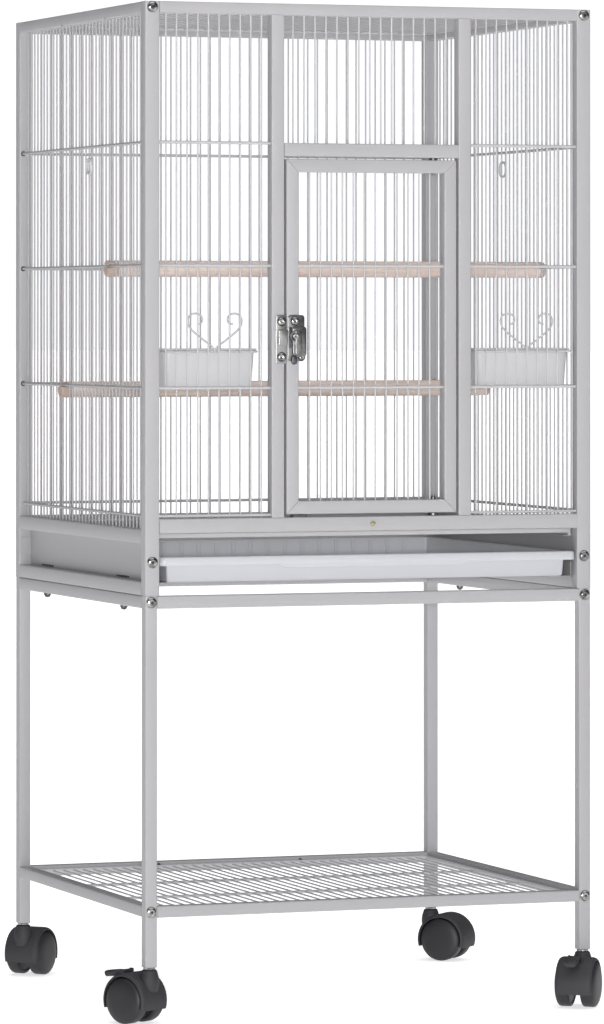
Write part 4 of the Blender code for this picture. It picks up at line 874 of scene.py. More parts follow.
# %% Spin helper
AXES = {
    "z": Matrix.Identity(4),
    "y": Matrix.Rotation(math.radians(-90), 4, "X"),
    "x": Matrix.Rotation(math.radians(90), 4, "Y"),
}


def mm(*outline, level=0.0):
    """An outline given in millimetres, with its heights counted from a level in metres."""
    return [(radius / 1000, level + along / 1000) for radius, along in outline]


def pin_outline(radius, low, high):
    return [(0.0, low), (radius, low), (radius, high), (0.0, high)]


def add_turned(shell, outline, centre, axis="z", sides=24):
    """Outline is a list of (radius, distance along the axis). Points at radius 0 close the ends."""
    made = bmesh.new()
    points = [made.verts.new((radius, 0.0, along)) for radius, along in outline]
    chain = [made.edges.new(pair) for pair in zip(points, points[1:])]
    bmesh.ops.spin(
        made,
        geom=points + chain,
        cent=(0, 0, 0),
        axis=(0, 0, 1),
        angle=2 * math.pi,
        steps=sides,
        use_merge=True,
    )
    bmesh.ops.remove_doubles(made, verts=made.verts, dist=1e-6)
    bmesh.ops.transform(made, matrix=Matrix.Translation(centre) @ AXES[axis], verts=made.verts)
    bmesh.ops.recalc_face_normals(made, faces=made.faces)
    join_shells(shell, made)


print("a lathe for", ", ".join(AXES))

# %% [markdown]
# ## Bolts
#
# Button-head bolts with a hex socket hold the panels together. The head is a low dome over a thin
# washer. The socket is what catches the eye: a hexagon in deep shade with a bright rim. The dome is
# turned with a round recess, and a small dark hexagon of painted shade is laid in it.

# %% Button bolt helpers
BOLT_HEAD = 7.7
SOCKET = 3.4
SOCKET_SHADE_HEX = 0.0034 * 1.02


def facing(place, outward):
    """Takes a piece that was turned round z to a place and a direction."""
    turn = Vector(outward).to_track_quat("Z", "Y").to_matrix().to_4x4()
    return Matrix.Translation(place) @ turn


def add_button_bolt(shell, place, outward):
    made = bmesh.new()
    dome = [(0.0, 0.8), (SOCKET, 0.8), (SOCKET, 2.8), (SOCKET + 0.4, 3.1)]
    for angle in (75, 60, 45, 30, 15, 0):
        share = math.radians(angle)
        dome.append((6.4 * math.cos(share) + 0.2, 0.7 + 2.5 * math.sin(share)))
    washer = [(BOLT_HEAD, 0.6), (BOLT_HEAD, 0.0), (3.0, 0.0)]
    shank = [(3.0, -12.0), (0.0, -12.0)]
    add_turned(made, mm(*dome, *washer, *shank), (0, 0, 0))
    bmesh.ops.transform(made, matrix=facing(place, outward), verts=made.verts)
    join_shells(shell, made)


def add_socket_shade(shell, place, outward):
    """The hexagon at the bottom of the socket, coloured dark as painted shade."""
    made = bmesh.new()
    bmesh.ops.create_circle(made, cap_ends=True, segments=6, radius=SOCKET_SHADE_HEX)
    grown = bmesh.ops.extrude_face_region(made, geom=list(made.faces))
    bmesh.ops.translate(made, verts=only(bmesh.types.BMVert, grown["geom"]), vec=(0.0, 0.0, 0.0012))
    bmesh.ops.recalc_face_normals(made, faces=made.faces)
    lift = Matrix.Translation((0.0, 0.0, 0.0006))
    bmesh.ops.transform(made, matrix=facing(place, outward) @ lift, verts=made.verts)
    join_shells(shell, made)


# %% Bolt places
LEG_INSET = 0.0005
LEG = 0.0166
LEG_MIDDLE = LEG_INSET + LEG / 2
LEG_FAR = LEG_INSET + LEG
BOLT_ROWS = (
    ("cage_bolt", STILE / 2, 0.0, {"top": HEIGHT - 0.00775, "lower": 0.607}),
    ("stand_bolt", LEG_MIDDLE, LEG_INSET, {"top": 0.55435, "lower": 0.1475}),
)

bolt_places = {}
for kind, inset, front, heights in BOLT_ROWS:
    for side, x in zip(SIDES, (inset, WIDTH - inset)):
        for height, z in heights.items():
            bolt_places[f"{kind}_{side}_{height}"] = (x, front, z)
print("bolts:", len(bolt_places), "in front and as many behind")


# %% Cage and stand bolts
def make_bolts():
    """The front bolts one by one, and those at the back, which the CAD model leaves to this scene."""
    sockets = bmesh.new()
    back = bmesh.new()
    for node, (x, y, z) in bolt_places.items():
        shell = bmesh.new()
        add_button_bolt(shell, (x, y, z), (0, -1, 0))
        finish_piece(node.replace("bolt", "button_bolt"), shell, bright_plate, node)
        # A dark hexagon of painted shade in each socket.
        add_socket_shade(sockets, (x, y, z), (0, -1, 0))
        add_button_bolt(back, (x, DEPTH - y, z), (0, 1, 0))
    finish_piece("bolt_socket_painted_shade", sockets, dark_steel_and_painted_shade)
    finish_piece("back_button_bolts", back, bright_plate)


make_bolts()

# %% [markdown]
# ## Stand
#
# The stand is two welded leg frames joined by four side rails. The legs run from the cage down to
# the casters. All of it is the same thin square tube.

# %% Leg frames
LEG_BOTTOM = 0.075
STAND_TOP = CAGE_FLOOR - GAP
STAND_RAIL = (0.546, STAND_TOP)
SHELF = (0.140, 0.155)


def make_leg_frame(node, near):
    shell = bmesh.new()
    add_frame(shell, LEG_INSET, LEG, near, near + LEG, LEG_BOTTOM, STAND_TOP, (STAND_RAIL, SHELF))
    finish_piece(f"{node}_tubes", shell, grey_coat, node)


make_leg_frame("leg_frame_front", LEG_INSET)
make_leg_frame("leg_frame_back", DEPTH - LEG_FAR)


# %% Side rails of the stand
def make_side_rail(node, side, low, high):
    shell = bmesh.new()
    add_tube(shell, (LEG_INSET, LEG_FAR + GAP, low), (LEG_FAR, DEPTH - LEG_FAR - GAP, high), "y")
    to_side(shell, side)
    finish_piece(f"{node}_{side}_tube", shell, grey_coat, f"{node}_{side}")


for side in SIDES:
    make_side_rail("stand_side_rail", side, *STAND_RAIL)
    make_side_rail("shelf_side_rail", side, *SHELF)

# %% [markdown]
# ## Shelf
#
# The shelf mat drops between the shelf rails. From above it catches the light, so the wires look
# nearly white against the darker rails. They wear the paler wire coat, a painted highlight.

# %% Shelf mat
SHELF_EDGE = 0.004
SHELF_HALF = 0.003
SHELF_RODS = (0.208, DEPTH - 0.199)


def make_shelf():
    shell = bmesh.new()
    edge = LEG_FAR + GAP
    right, far = WIDTH - edge, DEPTH - edge
    middle = (SHELF[0] + SHELF[1]) / 2
    low, high = (edge, edge, middle - SHELF_HALF), (right, far, middle + SHELF_HALF)
    add_flat_edge(shell, low, high, SHELF_EDGE, 0.0006)
    wires = evenly(edge + SHELF_EDGE, right - SHELF_EDGE, PITCH, MARGIN)
    reach = SHELF_EDGE - INTO_TUBE
    low, high = (edge + reach, edge + reach), (right - reach, far - reach)
    add_mat(shell, low, high, middle, wires, SHELF_RODS, middle - WIRE / 2 - ROD / 2, ROD)
    finish_piece("shelf_mat", shell, painted_highlight_wire_coat, "shelf_grid")


make_shelf()

# %% [markdown]
# ## Grate
#
# A second wire mat lies above the tray. It rests on ledges inside the side panels and pulls out
# between the sill and the tray. Its runners at the sides are deeper than its bars in front and
# behind.

# %% Grate
GRATE_SIDE = STILE + 0.001
GRATE = (0.0205, 0.560)
GRATE_LEVELS = (0.6348, 0.6438)
GRATE_RUNNER = 0.004
GRATE_BAR = 0.005
GRATE_BAR_HEIGHT = 0.006
ROD_INSET = 0.002
WIRE_INSET = 0.003


def make_grate():
    shell = bmesh.new()
    left, right = GRATE_SIDE, WIDTH - GRATE_SIDE
    inner_left, inner_right = left + GRATE_RUNNER, right - GRATE_RUNNER
    near, far = GRATE
    low, high = GRATE_LEVELS
    bar_low = high - GRATE_BAR_HEIGHT
    for x in (left, inner_right):
        add_tube(shell, (x, near, low), (x + GRATE_RUNNER, far, high), "y", 0.0006)
    for y in (near, far - GRATE_BAR):
        add_tube(shell, (inner_left, y, bar_low), (inner_right, y + GRATE_BAR, high), "x", 0.0008)
    middle = (bar_low + high) / 2
    wires = evenly(inner_left, inner_right, PITCH, MARGIN)
    rods = [near + (far - near) * share for share in (0.25, 0.5, 0.75)]
    low, high = (left + ROD_INSET, near + WIRE_INSET), (right - ROD_INSET, far - WIRE_INSET)
    add_mat(shell, low, high, middle, wires, rods, middle - WIRE / 2 - THIN_ROD / 2, THIN_ROD)
    finish_piece("grate_mat", shell, painted_highlight_wire_coat, "grate", "grate")


make_grate()

# %% [markdown]
# ## Tray
#
# The tray is one plastic moulding with a wide rim that turns down outside. It can be drawn the way
# a sheet is drawn over a mould: start from the flat bottom, a rounded rectangle, then extrude its
# edge step by step up the outside, over the rim and down the inside. After each extrusion the corner
# arcs are moved to the new inset, so the corners stay true arcs. The last ring is closed with the
# inner floor.

# %% Moulding helper
def corner_radius(inset, outer):
    return max(outer - 0.5 * inset, 0.3 * outer)


def inset_point(place, low, high, old, new, outer):
    """Moves a point of a rounded rectangle from one inset to another."""
    old_radius, new_radius = corner_radius(old, outer), corner_radius(new, outer)
    moved = []
    for axis in (0, 1):
        centre = (low[axis] + high[axis]) / 2
        half = (high[axis] - low[axis]) / 2
        side = 1 if place[axis] > centre else -1
        old_arc = centre + side * (half - old - old_radius)
        new_arc = centre + side * (half - new - new_radius)
        moved.append(new_arc + (place[axis] - old_arc) * new_radius / old_radius)
    return moved


def add_moulding(shell, low, high, outline, outer, steps=6):
    """A vessel with rounded corners. Outline is a list of (inset, z), from outer floor to inner."""
    inset, bottom = outline[0]
    size = (high[0] - low[0] - 2 * inset, high[1] - low[1] - 2 * inset, 1.0, 1.0)
    middle = ((low[0] + high[0]) / 2, (low[1] + high[1]) / 2, bottom)
    matrix = Matrix.Translation(middle) @ Matrix.Diagonal(size)
    made = bmesh.new()
    grid = bmesh.ops.create_grid(made, x_segments=1, y_segments=1, size=0.5, matrix=matrix)
    round_off(made, grid["verts"], corner_radius(inset, outer), steps, "VERTICES")
    ring = list(made.edges)
    for (old, _), (new, z) in zip(outline, outline[1:]):
        walls = bmesh.ops.extrude_edge_only(made, edges=ring)["geom"]
        for vertex in only(bmesh.types.BMVert, walls):
            vertex.co.xy = inset_point(vertex.co, low, high, old, new, outer)
            vertex.co.z = z
        ring = [edge for edge in only(bmesh.types.BMEdge, walls) if edge.is_boundary]
    bmesh.ops.edgeloop_fill(made, edges=ring)
    bmesh.ops.recalc_face_normals(made, faces=made.faces)
    join_shells(shell, made)


# %% Tray
TRAY = ((STILE + 0.001, 0.0005), (WIDTH - STILE - 0.001, 0.537))
TRAY_LEVELS = (0.5797, 0.6136)
TRAY_CORNER = 0.009
TRAY_LOWER = ((17.0, 0.0), (15.2, 0.5), (14.2, 2.2))
TRAY_RIM = (
    (12.0, -2.2), (2.2, -2.4), (1.8, -3.0), (1.6, -11.2), (1.0, -11.7), (0.3, -11.2), (0.0, -10.4),
    (0.2, -2.4), (1.0, -0.8), (2.6, 0.0), (12.2, -0.2), (13.8, -1.6),
)
TRAY_INNER = ((16.0, 4.8), (17.6, 2.6), (20.0, 2.1))
GRIP = ((0.1845, 0.0001, -0.0164), (0.4625, 0.0019, -0.0100))
GRIP_SLOPES = (0.0095, 0.0190)
RIB_INSET = 0.03
FLOOR_RIB = (0.026, 0.004, 0.0018, 0.0030)
BACK_RIB = (0.003, 0.0022, 0.004, 0.003)


def add_grip(shell, front, top):
    """The pull: the middle of the front rim hangs lower, with sloping ends."""
    made = bmesh.new()
    low, high = [Vector((0.0, front, top)) + Vector(corner) for corner in GRIP]
    add_box(made, low, high, 0.0005)
    for vertex in made.verts:
        if vertex.co.z < (low.z + high.z) / 2:
            vertex.co.x += GRIP_SLOPES[0] if vertex.co.x < WIDTH / 2 else -GRIP_SLOPES[1]
    join_shells(shell, made)


def add_tray_ribs(shell, low, high, bottom, top):
    """Low ribs across the floor, and upright ribs inside the back wall."""
    inset, half, rib_low, rib_high = FLOOR_RIB
    for y in evenly(low[1] + RIB_INSET, high[1] - RIB_INSET, 0.052, 0.02):
        start = (low[0] + inset, y - half, bottom + rib_low)
        add_box(shell, start, (high[0] - inset, y + half, bottom + rib_high), 0.0008)
    half, depth, foot, drop = BACK_RIB
    far = high[1] - 0.0138
    for x in evenly(low[0] + RIB_INSET, high[0] - RIB_INSET, 0.026, 0.01):
        add_box(shell, (x - half, far - depth, bottom + foot), (x + half, far, top - drop), 0.0005)


def make_tray():
    low, high = TRAY
    bottom, top = TRAY_LEVELS
    shell = bmesh.new()
    outline = mm(*TRAY_LOWER, level=bottom) + mm(*TRAY_RIM, level=top) + mm(*TRAY_INNER, level=bottom)
    add_moulding(shell, low, high, outline, TRAY_CORNER)
    add_grip(shell, low[1], top)
    add_tray_ribs(shell, low, high, bottom, top)
    finish_piece("tray_moulding", shell, tray_white, "tray", "tray", 40)


make_tray()

# %% [markdown]
# ## Tray runners
#
# An L strip inside each side plate carries the tray. Two tabs of each strip pass through the plate
# and are bent over, which shows as two short dark slots in the side. The tabs and their studs are
# coloured dark as painted shade for the slots.

# %% Tray runners
RUNNER_SHEET = 0.0015
RUNNER_SHELF = 0.030
RUNNER_WALL = 0.0185
TAB_SHEET = 0.0018
STUD = pin_outline(0.0011, 0.0, 0.0012)
STUD_PITCH = 0.014


def make_runner(side):
    shell = bmesh.new()
    front, back = SIDE_FRONT + LEDGE_INSET, SIDE_BACK - LEDGE_INSET
    top = TRAY_LEVELS[0] - GAP
    inner = PANEL + GAP
    add_box(shell, (inner, front, top - RUNNER_SHEET), (inner + RUNNER_SHELF, back, top), THIN_EDGE)
    wall_low, wall_high = top - 0.0010, top + RUNNER_WALL
    add_box(shell, (inner, front, wall_low), (inner + RUNNER_SHEET, back, wall_high), THIN_EDGE)
    to_side(shell, side)
    finish_piece(f"runner_{side}", shell, grey_coat, f"tray_runner_{side}")


def make_tabs_painted_shade(side):
    shell = bmesh.new()
    outer = PLATE_X - SHEET
    for middle in TAB_MIDDLES:
        near, far = middle - TAB_LENGTH / 2, middle + TAB_LENGTH / 2
        add_box(shell, (outer, near, TAB_LOW), (PANEL, far, TAB_LOW + TAB_SHEET), THIN_EDGE)
        for y in (middle - STUD_PITCH, middle, middle + STUD_PITCH):
            add_turned(shell, STUD, (outer - 0.0008, y, TAB_LOW + TAB_SHEET / 2), "x", 10)
    to_side(shell, side)
    # Dark steel on the tabs and studs is painted shade for the slots.
    finish_piece(f"runner_tabs_painted_shade_{side}", shell, dark_steel_and_painted_shade)


for side in SIDES:
    make_runner(side)
    make_tabs_painted_shade(side)

# %% [markdown]
# ## Perches
#
# A perch is a dowel cut to the width of the cage. Both ends are sawn twice: an upright kerf that
# slips over a side wire and a level notch for the cross rod. The dowel is one cylinder between the
# cuts. At each end it goes on as four small quarter rounds with the cuts between them, and each
# quarter is a cylinder that two planes have trimmed.

# %% Perch helpers
PERCH = 0.022
PERCH_SIDES = 32
KERF_END = 0.0106
NOTCH_END = 0.0079
HALF_KERF = 0.0016
HALF_NOTCH = 0.0024
NOTCH_WALL = 0.0095


def add_dowel(shell, start, end, y, z, worn=()):
    """A length of dowel. The ends whose x is in worn get a small round."""
    verts = add_wire(shell, (start, y, z), (end, y, z), PERCH, PERCH_SIDES)
    rims = [e for e in edges_of(verts) for x in worn if all(abs(v.co.x - x) < 1e-5 for v in e.verts)]
    if rims:
        round_off(shell, rims, 0.0008, 2)


def add_perch_end(shell, y, z, wire_y, rod_z, left):
    """The sawn end: quarters of the dowel round the wire's kerf and the rod's notch."""
    outer, inner = (GAP, KERF_END) if left else (WIDTH - GAP, WIDTH - KERF_END)
    for up in (-1, 1):
        for back in (-1, 1):
            quarter = bmesh.new()
            add_dowel(quarter, min(outer, inner), max(outer, inner), y, z, (outer,))
            cut_away(quarter, (0, wire_y + back * HALF_KERF, 0), (0, -back, 0))
            cut_away(quarter, (0, 0, rod_z + up * HALF_NOTCH), (0, 0, -up))
            join_shells(shell, quarter)
    wall = (NOTCH_END, KERF_END) if left else (WIDTH - KERF_END, WIDTH - NOTCH_END)
    for back in (-1, 1):
        near, far = sorted((wire_y + back * HALF_KERF, y + back * NOTCH_WALL))
        add_box(shell, (wall[0], near, rod_z - 0.0026), (wall[1], far, rod_z + 0.0026), 0.0002)


# %% Perches
def make_perch(name, y, rod_z, drop):
    shell = bmesh.new()
    z = rod_z - drop
    wire_y = min(evenly(*side_span, PITCH, MARGIN), key=lambda place: abs(place - y))
    add_dowel(shell, KERF_END, WIDTH - KERF_END, y, z)
    for left in (True, False):
        add_perch_end(shell, y, z, wire_y, rod_z, left)
    finish_piece(f"{name}_dowel", shell, pale_dowel, name, sharp=45)


make_perch("perch_upper", 0.169, ROD_HEIGHTS[2], 0.003)
make_perch("perch_lower", 0.375, ROD_HEIGHTS[1], 0.006)

# %% [markdown]
# ## Plates with rounded corners
#
# The latch is pressed from strip. A pressed part is a flat outline with some thickness and a small
# round along its edge where the punch dragged the metal. So it starts as one flat face, whose
# corners are bevelled, then extruded, and then the front rim is bevelled. Rivets hold it: low domes
# with a dimple, each on a thin dark disc of painted shade for the sunk ring that the punch leaves.

# %% Pressed plate helper
def add_pressed(shell, low, high, back, front, corner, rim=0.0004):
    """A plate in the plane of the cage's front. low and high are (x, z)."""
    made = bmesh.new()
    size = (high[0] - low[0], high[1] - low[1], 1.0, 1.0)
    stand = Matrix.Rotation(math.radians(90), 4, "X")
    middle = Matrix.Translation(((low[0] + high[0]) / 2, back, (low[1] + high[1]) / 2))
    matrix = middle @ stand @ Matrix.Diagonal(size)
    grid = bmesh.ops.create_grid(made, x_segments=1, y_segments=1, size=0.5, matrix=matrix)
    round_off(made, grid["verts"], corner, 5, "VERTICES")
    grown = bmesh.ops.extrude_face_region(made, geom=list(made.faces))
    moved = only(bmesh.types.BMVert, grown["geom"])
    bmesh.ops.translate(made, verts=moved, vec=(0.0, front - back, 0.0))
    edges = [edge for edge in made.edges if all(abs(v.co.y - front) < 1e-6 for v in edge.verts)]
    round_off(made, edges, rim, 2)
    bmesh.ops.recalc_face_normals(made, faces=made.faces)
    join_shells(shell, made)


# %% Rivet helpers
def towards_front(outline):
    """Turns an outline's heights round, so that a piece on the front grows towards the reader."""
    return [(radius, -along) for radius, along in outline]


def add_dome_rivet(shell, x, z, seat, radius, rise):
    """A round head that stands on a plate: a low dome with a flat dimple in the middle."""
    outline = [(0.0, rise * 0.62), (radius * 0.28, rise * 0.66), (radius * 0.38, rise * 0.95)]
    for degrees in (60, 48, 36, 24, 12, 0):
        angle = math.radians(degrees)
        outline.append((radius * math.cos(angle), rise * math.sin(angle) / math.sin(math.radians(60))))
    outline.append((radius, -0.0004))
    add_turned(shell, towards_front(outline), (x, seat, z), "y")


def add_rivet_shade_ring(shell, x, z, seat, radius):
    """A thin dark disc round the rivet's head: painted shade for the sunk ring that the punch leaves."""
    outline = [(0.0, 0.0), (radius, 0.0), (radius, -0.0002), (radius - 0.0003, -0.0004), (0.0, -0.0004)]
    add_turned(shell, outline, (x, seat, z), "y")


print("press and rivets ready")

# %% [markdown]
# ## Latch
#
# The keeper with its hook is riveted to the post, and the latch plate to the door. The lever turns
# on a rivet in the latch plate. It is folded from thicker strip, so it has a raised ridge, a round
# boss and a dark tail that hangs down when the door is free. A quarter turn brings the tail in
# behind the hook. The bright rivets and the dark gap between hook and lever are what one sees from
# a few metres away; the gap's shade is painted, as a dark strip laid on the latch plate.

# %% Latch keeper
LATCH = 0.905
LATCH_PIVOT = 0.209
PLATE_FRONT = -0.0015
KEEPER_PLATE = ((0.1819, 0.868), (0.1971, 0.9325))
HOOK = ((0.1841, 0.8920), (0.1968, 0.9130))
HOOK_BACK = -0.0060
HOOK_FRONT = -0.0072
HOOK_TOP = ((0.1846, -0.0068, 0.9112), (0.1964, PLATE_FRONT + 0.0002, 0.9128))
HOOK_STOP = ((0.1852, -0.0022, 0.8990), (0.1962, PLATE_FRONT + 0.0002, 0.9000))
KEEPER_RIVETS = ((0.1900, 0.9240), (0.1900, 0.8770))


def make_keeper():
    shell = bmesh.new()
    add_pressed(shell, *KEEPER_PLATE, -GAP, PLATE_FRONT, 0.0016)
    add_pressed(shell, *HOOK, HOOK_BACK, HOOK_FRONT, 0.0018)
    add_box(shell, *HOOK_TOP)
    add_box(shell, *HOOK_STOP, THIN_EDGE)
    finish_piece("keeper_plate", shell, keeper_nickel, "latch_keeper")
    rivets = bmesh.new()
    shade_rings = bmesh.new()
    for x, z in KEEPER_RIVETS:
        add_rivet_shade_ring(shade_rings, x, z, PLATE_FRONT, 0.0066)
        add_dome_rivet(rivets, x, z, PLATE_FRONT - 0.0003, 0.0054, 0.0018)
    finish_piece("keeper_rivet_shade_rings", shade_rings, dark_steel_and_painted_shade)
    finish_piece("keeper_rivets", rivets, bright_plate, sharp=50)


make_keeper()

# %% Latch plate
BASE_FRONT = -0.0010
LATCH_BASE = ((0.1994, 0.871), (0.2225, 0.9325))
LATCH_SHADE_STRIP = ((0.1998, 0.8886), (0.2046, 0.9164))
LATCH_RIVETS = ((0.2090, 0.9247, 0.0052), (0.2182, 0.8770, 0.0040))
LEVER_PIN = mm(
    (0.0, 5.5), (1.6, 5.7), (2.4, 6.1), (3.4, 6.1), (4.0, 5.6), (4.0, 5.0), (2.0, 5.0), (2.0, 0.5),
)


def make_latch_plate():
    shell = bmesh.new()
    add_pressed(shell, *LATCH_BASE, 0.0002, BASE_FRONT, 0.0040)
    finish_piece("latch_base", shell, latch_nickel, "latch_plate", "door")
    # A dark strip between hook and lever: painted shade for the gap.
    shade_strip = bmesh.new()
    add_pressed(shade_strip, *LATCH_SHADE_STRIP, -0.0009, -0.0016, 0.0006, 0.0002)
    finish_piece("latch_shade_strip", shade_strip, dark_steel_and_painted_shade, body="door")
    rivets = bmesh.new()
    shade_rings = bmesh.new()
    for x, z, radius in LATCH_RIVETS:
        add_rivet_shade_ring(shade_rings, x, z, BASE_FRONT, radius + 0.0014)
        add_dome_rivet(rivets, x, z, BASE_FRONT - 0.0003, radius, 0.0014)
    add_turned(rivets, towards_front(LEVER_PIN), (LATCH_PIVOT, 0, LATCH), "y")
    finish_piece("latch_rivet_shade_rings", shade_rings, dark_steel_and_painted_shade, body="door")
    finish_piece("latch_rivets", rivets, bright_plate, body="door", sharp=50)


make_latch_plate()

# %% Latch lever
LEVER_BACK = -0.0024
LEVER_FRONT = -0.0046
LEVER = ((0.2052, 0.8770), (0.2240, 0.9175))
LEVER_RIDGE = ((0.2085, 0.8790), (0.2175, 0.9130))
LEVER_TAIL = ((0.2034, 0.8668), (0.2106, 0.8790))
LEVER_BOSS = mm((7.8, 4.4), (7.8, 5.0), (7.0, 5.4), (4.4, 4.8), (2.3, 4.7))


def make_lever():
    shell = bmesh.new()
    add_pressed(shell, *LEVER, LEVER_BACK, LEVER_FRONT, 0.0045, 0.0005)
    add_pressed(shell, *LEVER_RIDGE, LEVER_BACK - 0.0004, LEVER_FRONT - 0.0010, 0.0030, 0.0006)
    add_turned(shell, towards_front(LEVER_BOSS), (LATCH_PIVOT, 0, LATCH), "y", 28)
    finish_piece("lever", shell, latch_nickel, "latch_lever", "latch_lever")
    tail = bmesh.new()
    add_pressed(tail, *LEVER_TAIL, LEVER_BACK + 0.0001, LEVER_FRONT - 0.0014, 0.0034, 0.0006)
    finish_piece("lever_tail", tail, dark_steel_and_painted_shade, body="latch_lever")


make_lever()

# %% [markdown]
# ## Door pivots
#
# The door turns on two screws. The lower one shows a washer between sill and door and a nut inside
# the door tube; the upper one only a thin washer.

# %% Door pivots
PIVOT_X = 0.4095
DOOR_LOW = DOOR[0][1]
DOOR_HIGH = DOOR[1][1]


def make_lower_pivot():
    outline = mm((0.0, -9.0), (2.0, -9.0), (2.0, 0.3), (7.0, 0.3), (7.5, 0.7), level=SILL[1])
    outline += mm((7.5, -0.7), (7.0, -0.3), (2.0, -0.3), level=DOOR_LOW)
    nut = ((2.0, 0.3), (3.3, 0.3), (3.3, 3.4), (2.9, 3.8), (2.0, 3.8), (2.0, 5.3), (1.5, 5.8), (0.0, 5.8))
    outline += mm(*nut, level=DOOR_LOW + DOOR_TUBE)
    shell = bmesh.new()
    add_turned(shell, outline, (PIVOT_X, MIDDLE, 0))
    finish_piece("pivot_lower", shell, nut_steel, "door_pivot_lower")


def make_upper_pivot():
    outline = mm((0.0, -2.3), (2.0, -2.3), level=DOOR_HIGH - DOOR_TUBE)
    outline += mm((2.0, 0.3), (5.5, 0.3), level=DOOR_HIGH)
    outline += mm((5.5, -0.3), (2.0, -0.3), (2.0, 9.0), (0.0, 9.0), level=HEAD[0])
    shell = bmesh.new()
    add_turned(shell, outline, (PIVOT_X, MIDDLE, 0))
    finish_piece("pivot_upper", shell, nut_steel, "door_pivot_upper")


make_lower_pivot()
make_upper_pivot()

# %% [markdown]
# ## Sill screw and stand screws
#
# A yellow zinc screw sits in the middle of the sill. Four screws with acorn nuts hold the cage down
# on the stand; only the domed nuts hang in view under the side rails.

# %% Sill screw
SILL_SCREW_X = WIDTH / 2 + 0.0025


def make_sill_screw():
    shell = bmesh.new()
    add_dome_rivet(shell, SILL_SCREW_X, (SILL[0] + SILL[1]) / 2, 0.0, 0.0035, 0.0017)
    finish_piece("sill_button", shell, yellow_zinc, "sill_screw", sharp=50)


make_sill_screw()

# %% Stand screws
SCREW_PLACES = (("front", 0.117), ("back", DEPTH - 0.124))
SCREW_SEAT = STAND_RAIL[0] - 0.0001
DOME_ANGLES = [math.radians(degrees) for degrees in (90, 70, 50, 30, 10)]
ACORN = [(4.2 * math.cos(angle), -3.5 - 3.0 * math.sin(angle)) for angle in DOME_ANGLES]
ACORN += [(4.4, -3.2), (5.0, -2.8), (5.0, -0.3), (2.5, -0.3)]
SCREW_TIP = ((2.5, 9.7), (0.0, 9.7))


def make_stand_screw(side, place, y):
    shell = bmesh.new()
    outline = mm(*ACORN, level=SCREW_SEAT) + mm(*SCREW_TIP, level=CAGE_FLOOR)
    add_turned(shell, outline, (LEG_MIDDLE, y, 0))
    to_side(shell, side)
    finish_piece(f"stand_acorn_{side}_{place}", shell, nut_steel, f"stand_screw_{side}_{place}")


for side in SIDES:
    for place, y in SCREW_PLACES:
        make_stand_screw(side, place, y)

# %% [markdown]
# ## Feeder cups
#
# Each cup is a small white moulding with straight front, tapered sides and a narrow lip that hangs
# in a wire ring. It is made by the same helper as the tray.

# %% Feeder cups
CUP_LEVELS = (0.8375, 0.888)
CUPS = {"left": (0.0315, 0.1600, 0.101), "right": (0.4740, 0.6095, 0.546)}
CUP_FRONT = 0.0135
CUP_BACK = 0.0771
CUP_LIP = 0.003
CUP_CORNER = 0.0105
CUP_LOWER = ((8.2, 0.0), (6.8, 0.4), (6.0, 1.8))
CUP_RIM = ((3.0, -2.6), (0.4, -2.4), (0.0, -1.6), (0.1, -0.6), (0.8, 0.0), (4.2, 0.0), (5.0, -0.8))
CUP_INNER = ((7.8, 4.0), (9.0, 2.4), (11.0, 2.0))


def make_cup(side):
    left, right, _ = CUPS[side]
    bottom, top = CUP_LEVELS
    shell = bmesh.new()
    outline = mm(*CUP_LOWER, level=bottom) + mm(*CUP_RIM, level=top) + mm(*CUP_INNER, level=bottom)
    add_moulding(shell, (left - CUP_LIP, CUP_FRONT), (right + CUP_LIP, CUP_BACK), outline, CUP_CORNER)
    node = f"feeder_cup_{side}"
    finish_piece(f"cup_{side}", shell, cup_white, node, node, 45)


for side in SIDES:
    make_cup(side)

# %% [markdown]
# ## Cup holders
#
# A holder is one bent wire. Its ring carries the cup, its front rises in a heart of two curls, and
# two clips grip the cage wires. Bent wire is a path with a round section, so the path is drawn as a
# curve with a bevel and turned into a mesh. The curls are the part to get right: each leg leaves
# the low point straight, turns up sharply at its outer end and winds inwards.

# %% Bent wire helpers
def add_bent_wire(shell, points, diameter, closed=False, smooth=True):
    curve = bpy.data.curves.new("bent_wire", "CURVE")
    curve.dimensions = "3D"
    curve.bevel_depth = diameter / 2
    curve.bevel_resolution = 2
    curve.use_fill_caps = True
    spline = curve.splines.new("BEZIER")
    spline.bezier_points.add(len(points) - 1)
    handle = "AUTO" if smooth else "VECTOR"
    for place, point in zip(points, spline.bezier_points):
        point.co = place
        point.handle_left_type = handle
        point.handle_right_type = handle
    spline.use_cyclic_u = closed
    spline.resolution_u = 6 if smooth else 1
    carrier = bpy.data.objects.new("bent_wire", curve)
    bpy.context.scene.collection.objects.link(carrier)
    mesh = bpy.data.meshes.new_from_object(carrier.evaluated_get(bpy.context.evaluated_depsgraph_get()))
    shell.from_mesh(mesh)
    bpy.data.objects.remove(carrier)
    bpy.data.curves.remove(curve)
    bpy.data.meshes.remove(mesh)


def rounded_path(low, high, radius, steps=4):
    """Points of a flat rounded rectangle, arc by arc."""
    corners = ((high[0], high[1], 0), (low[0], high[1], 90), (low[0], low[1], 180), (high[0], low[1], 270))
    points = []
    for x, y, start in corners:
        centre_x = x - radius if x == high[0] else x + radius
        centre_y = y - radius if y == high[1] else y + radius
        for step in range(steps + 1):
            angle = math.radians(start + 90 * step / steps)
            points.append((centre_x + radius * math.cos(angle), centre_y + radius * math.sin(angle)))
    return points


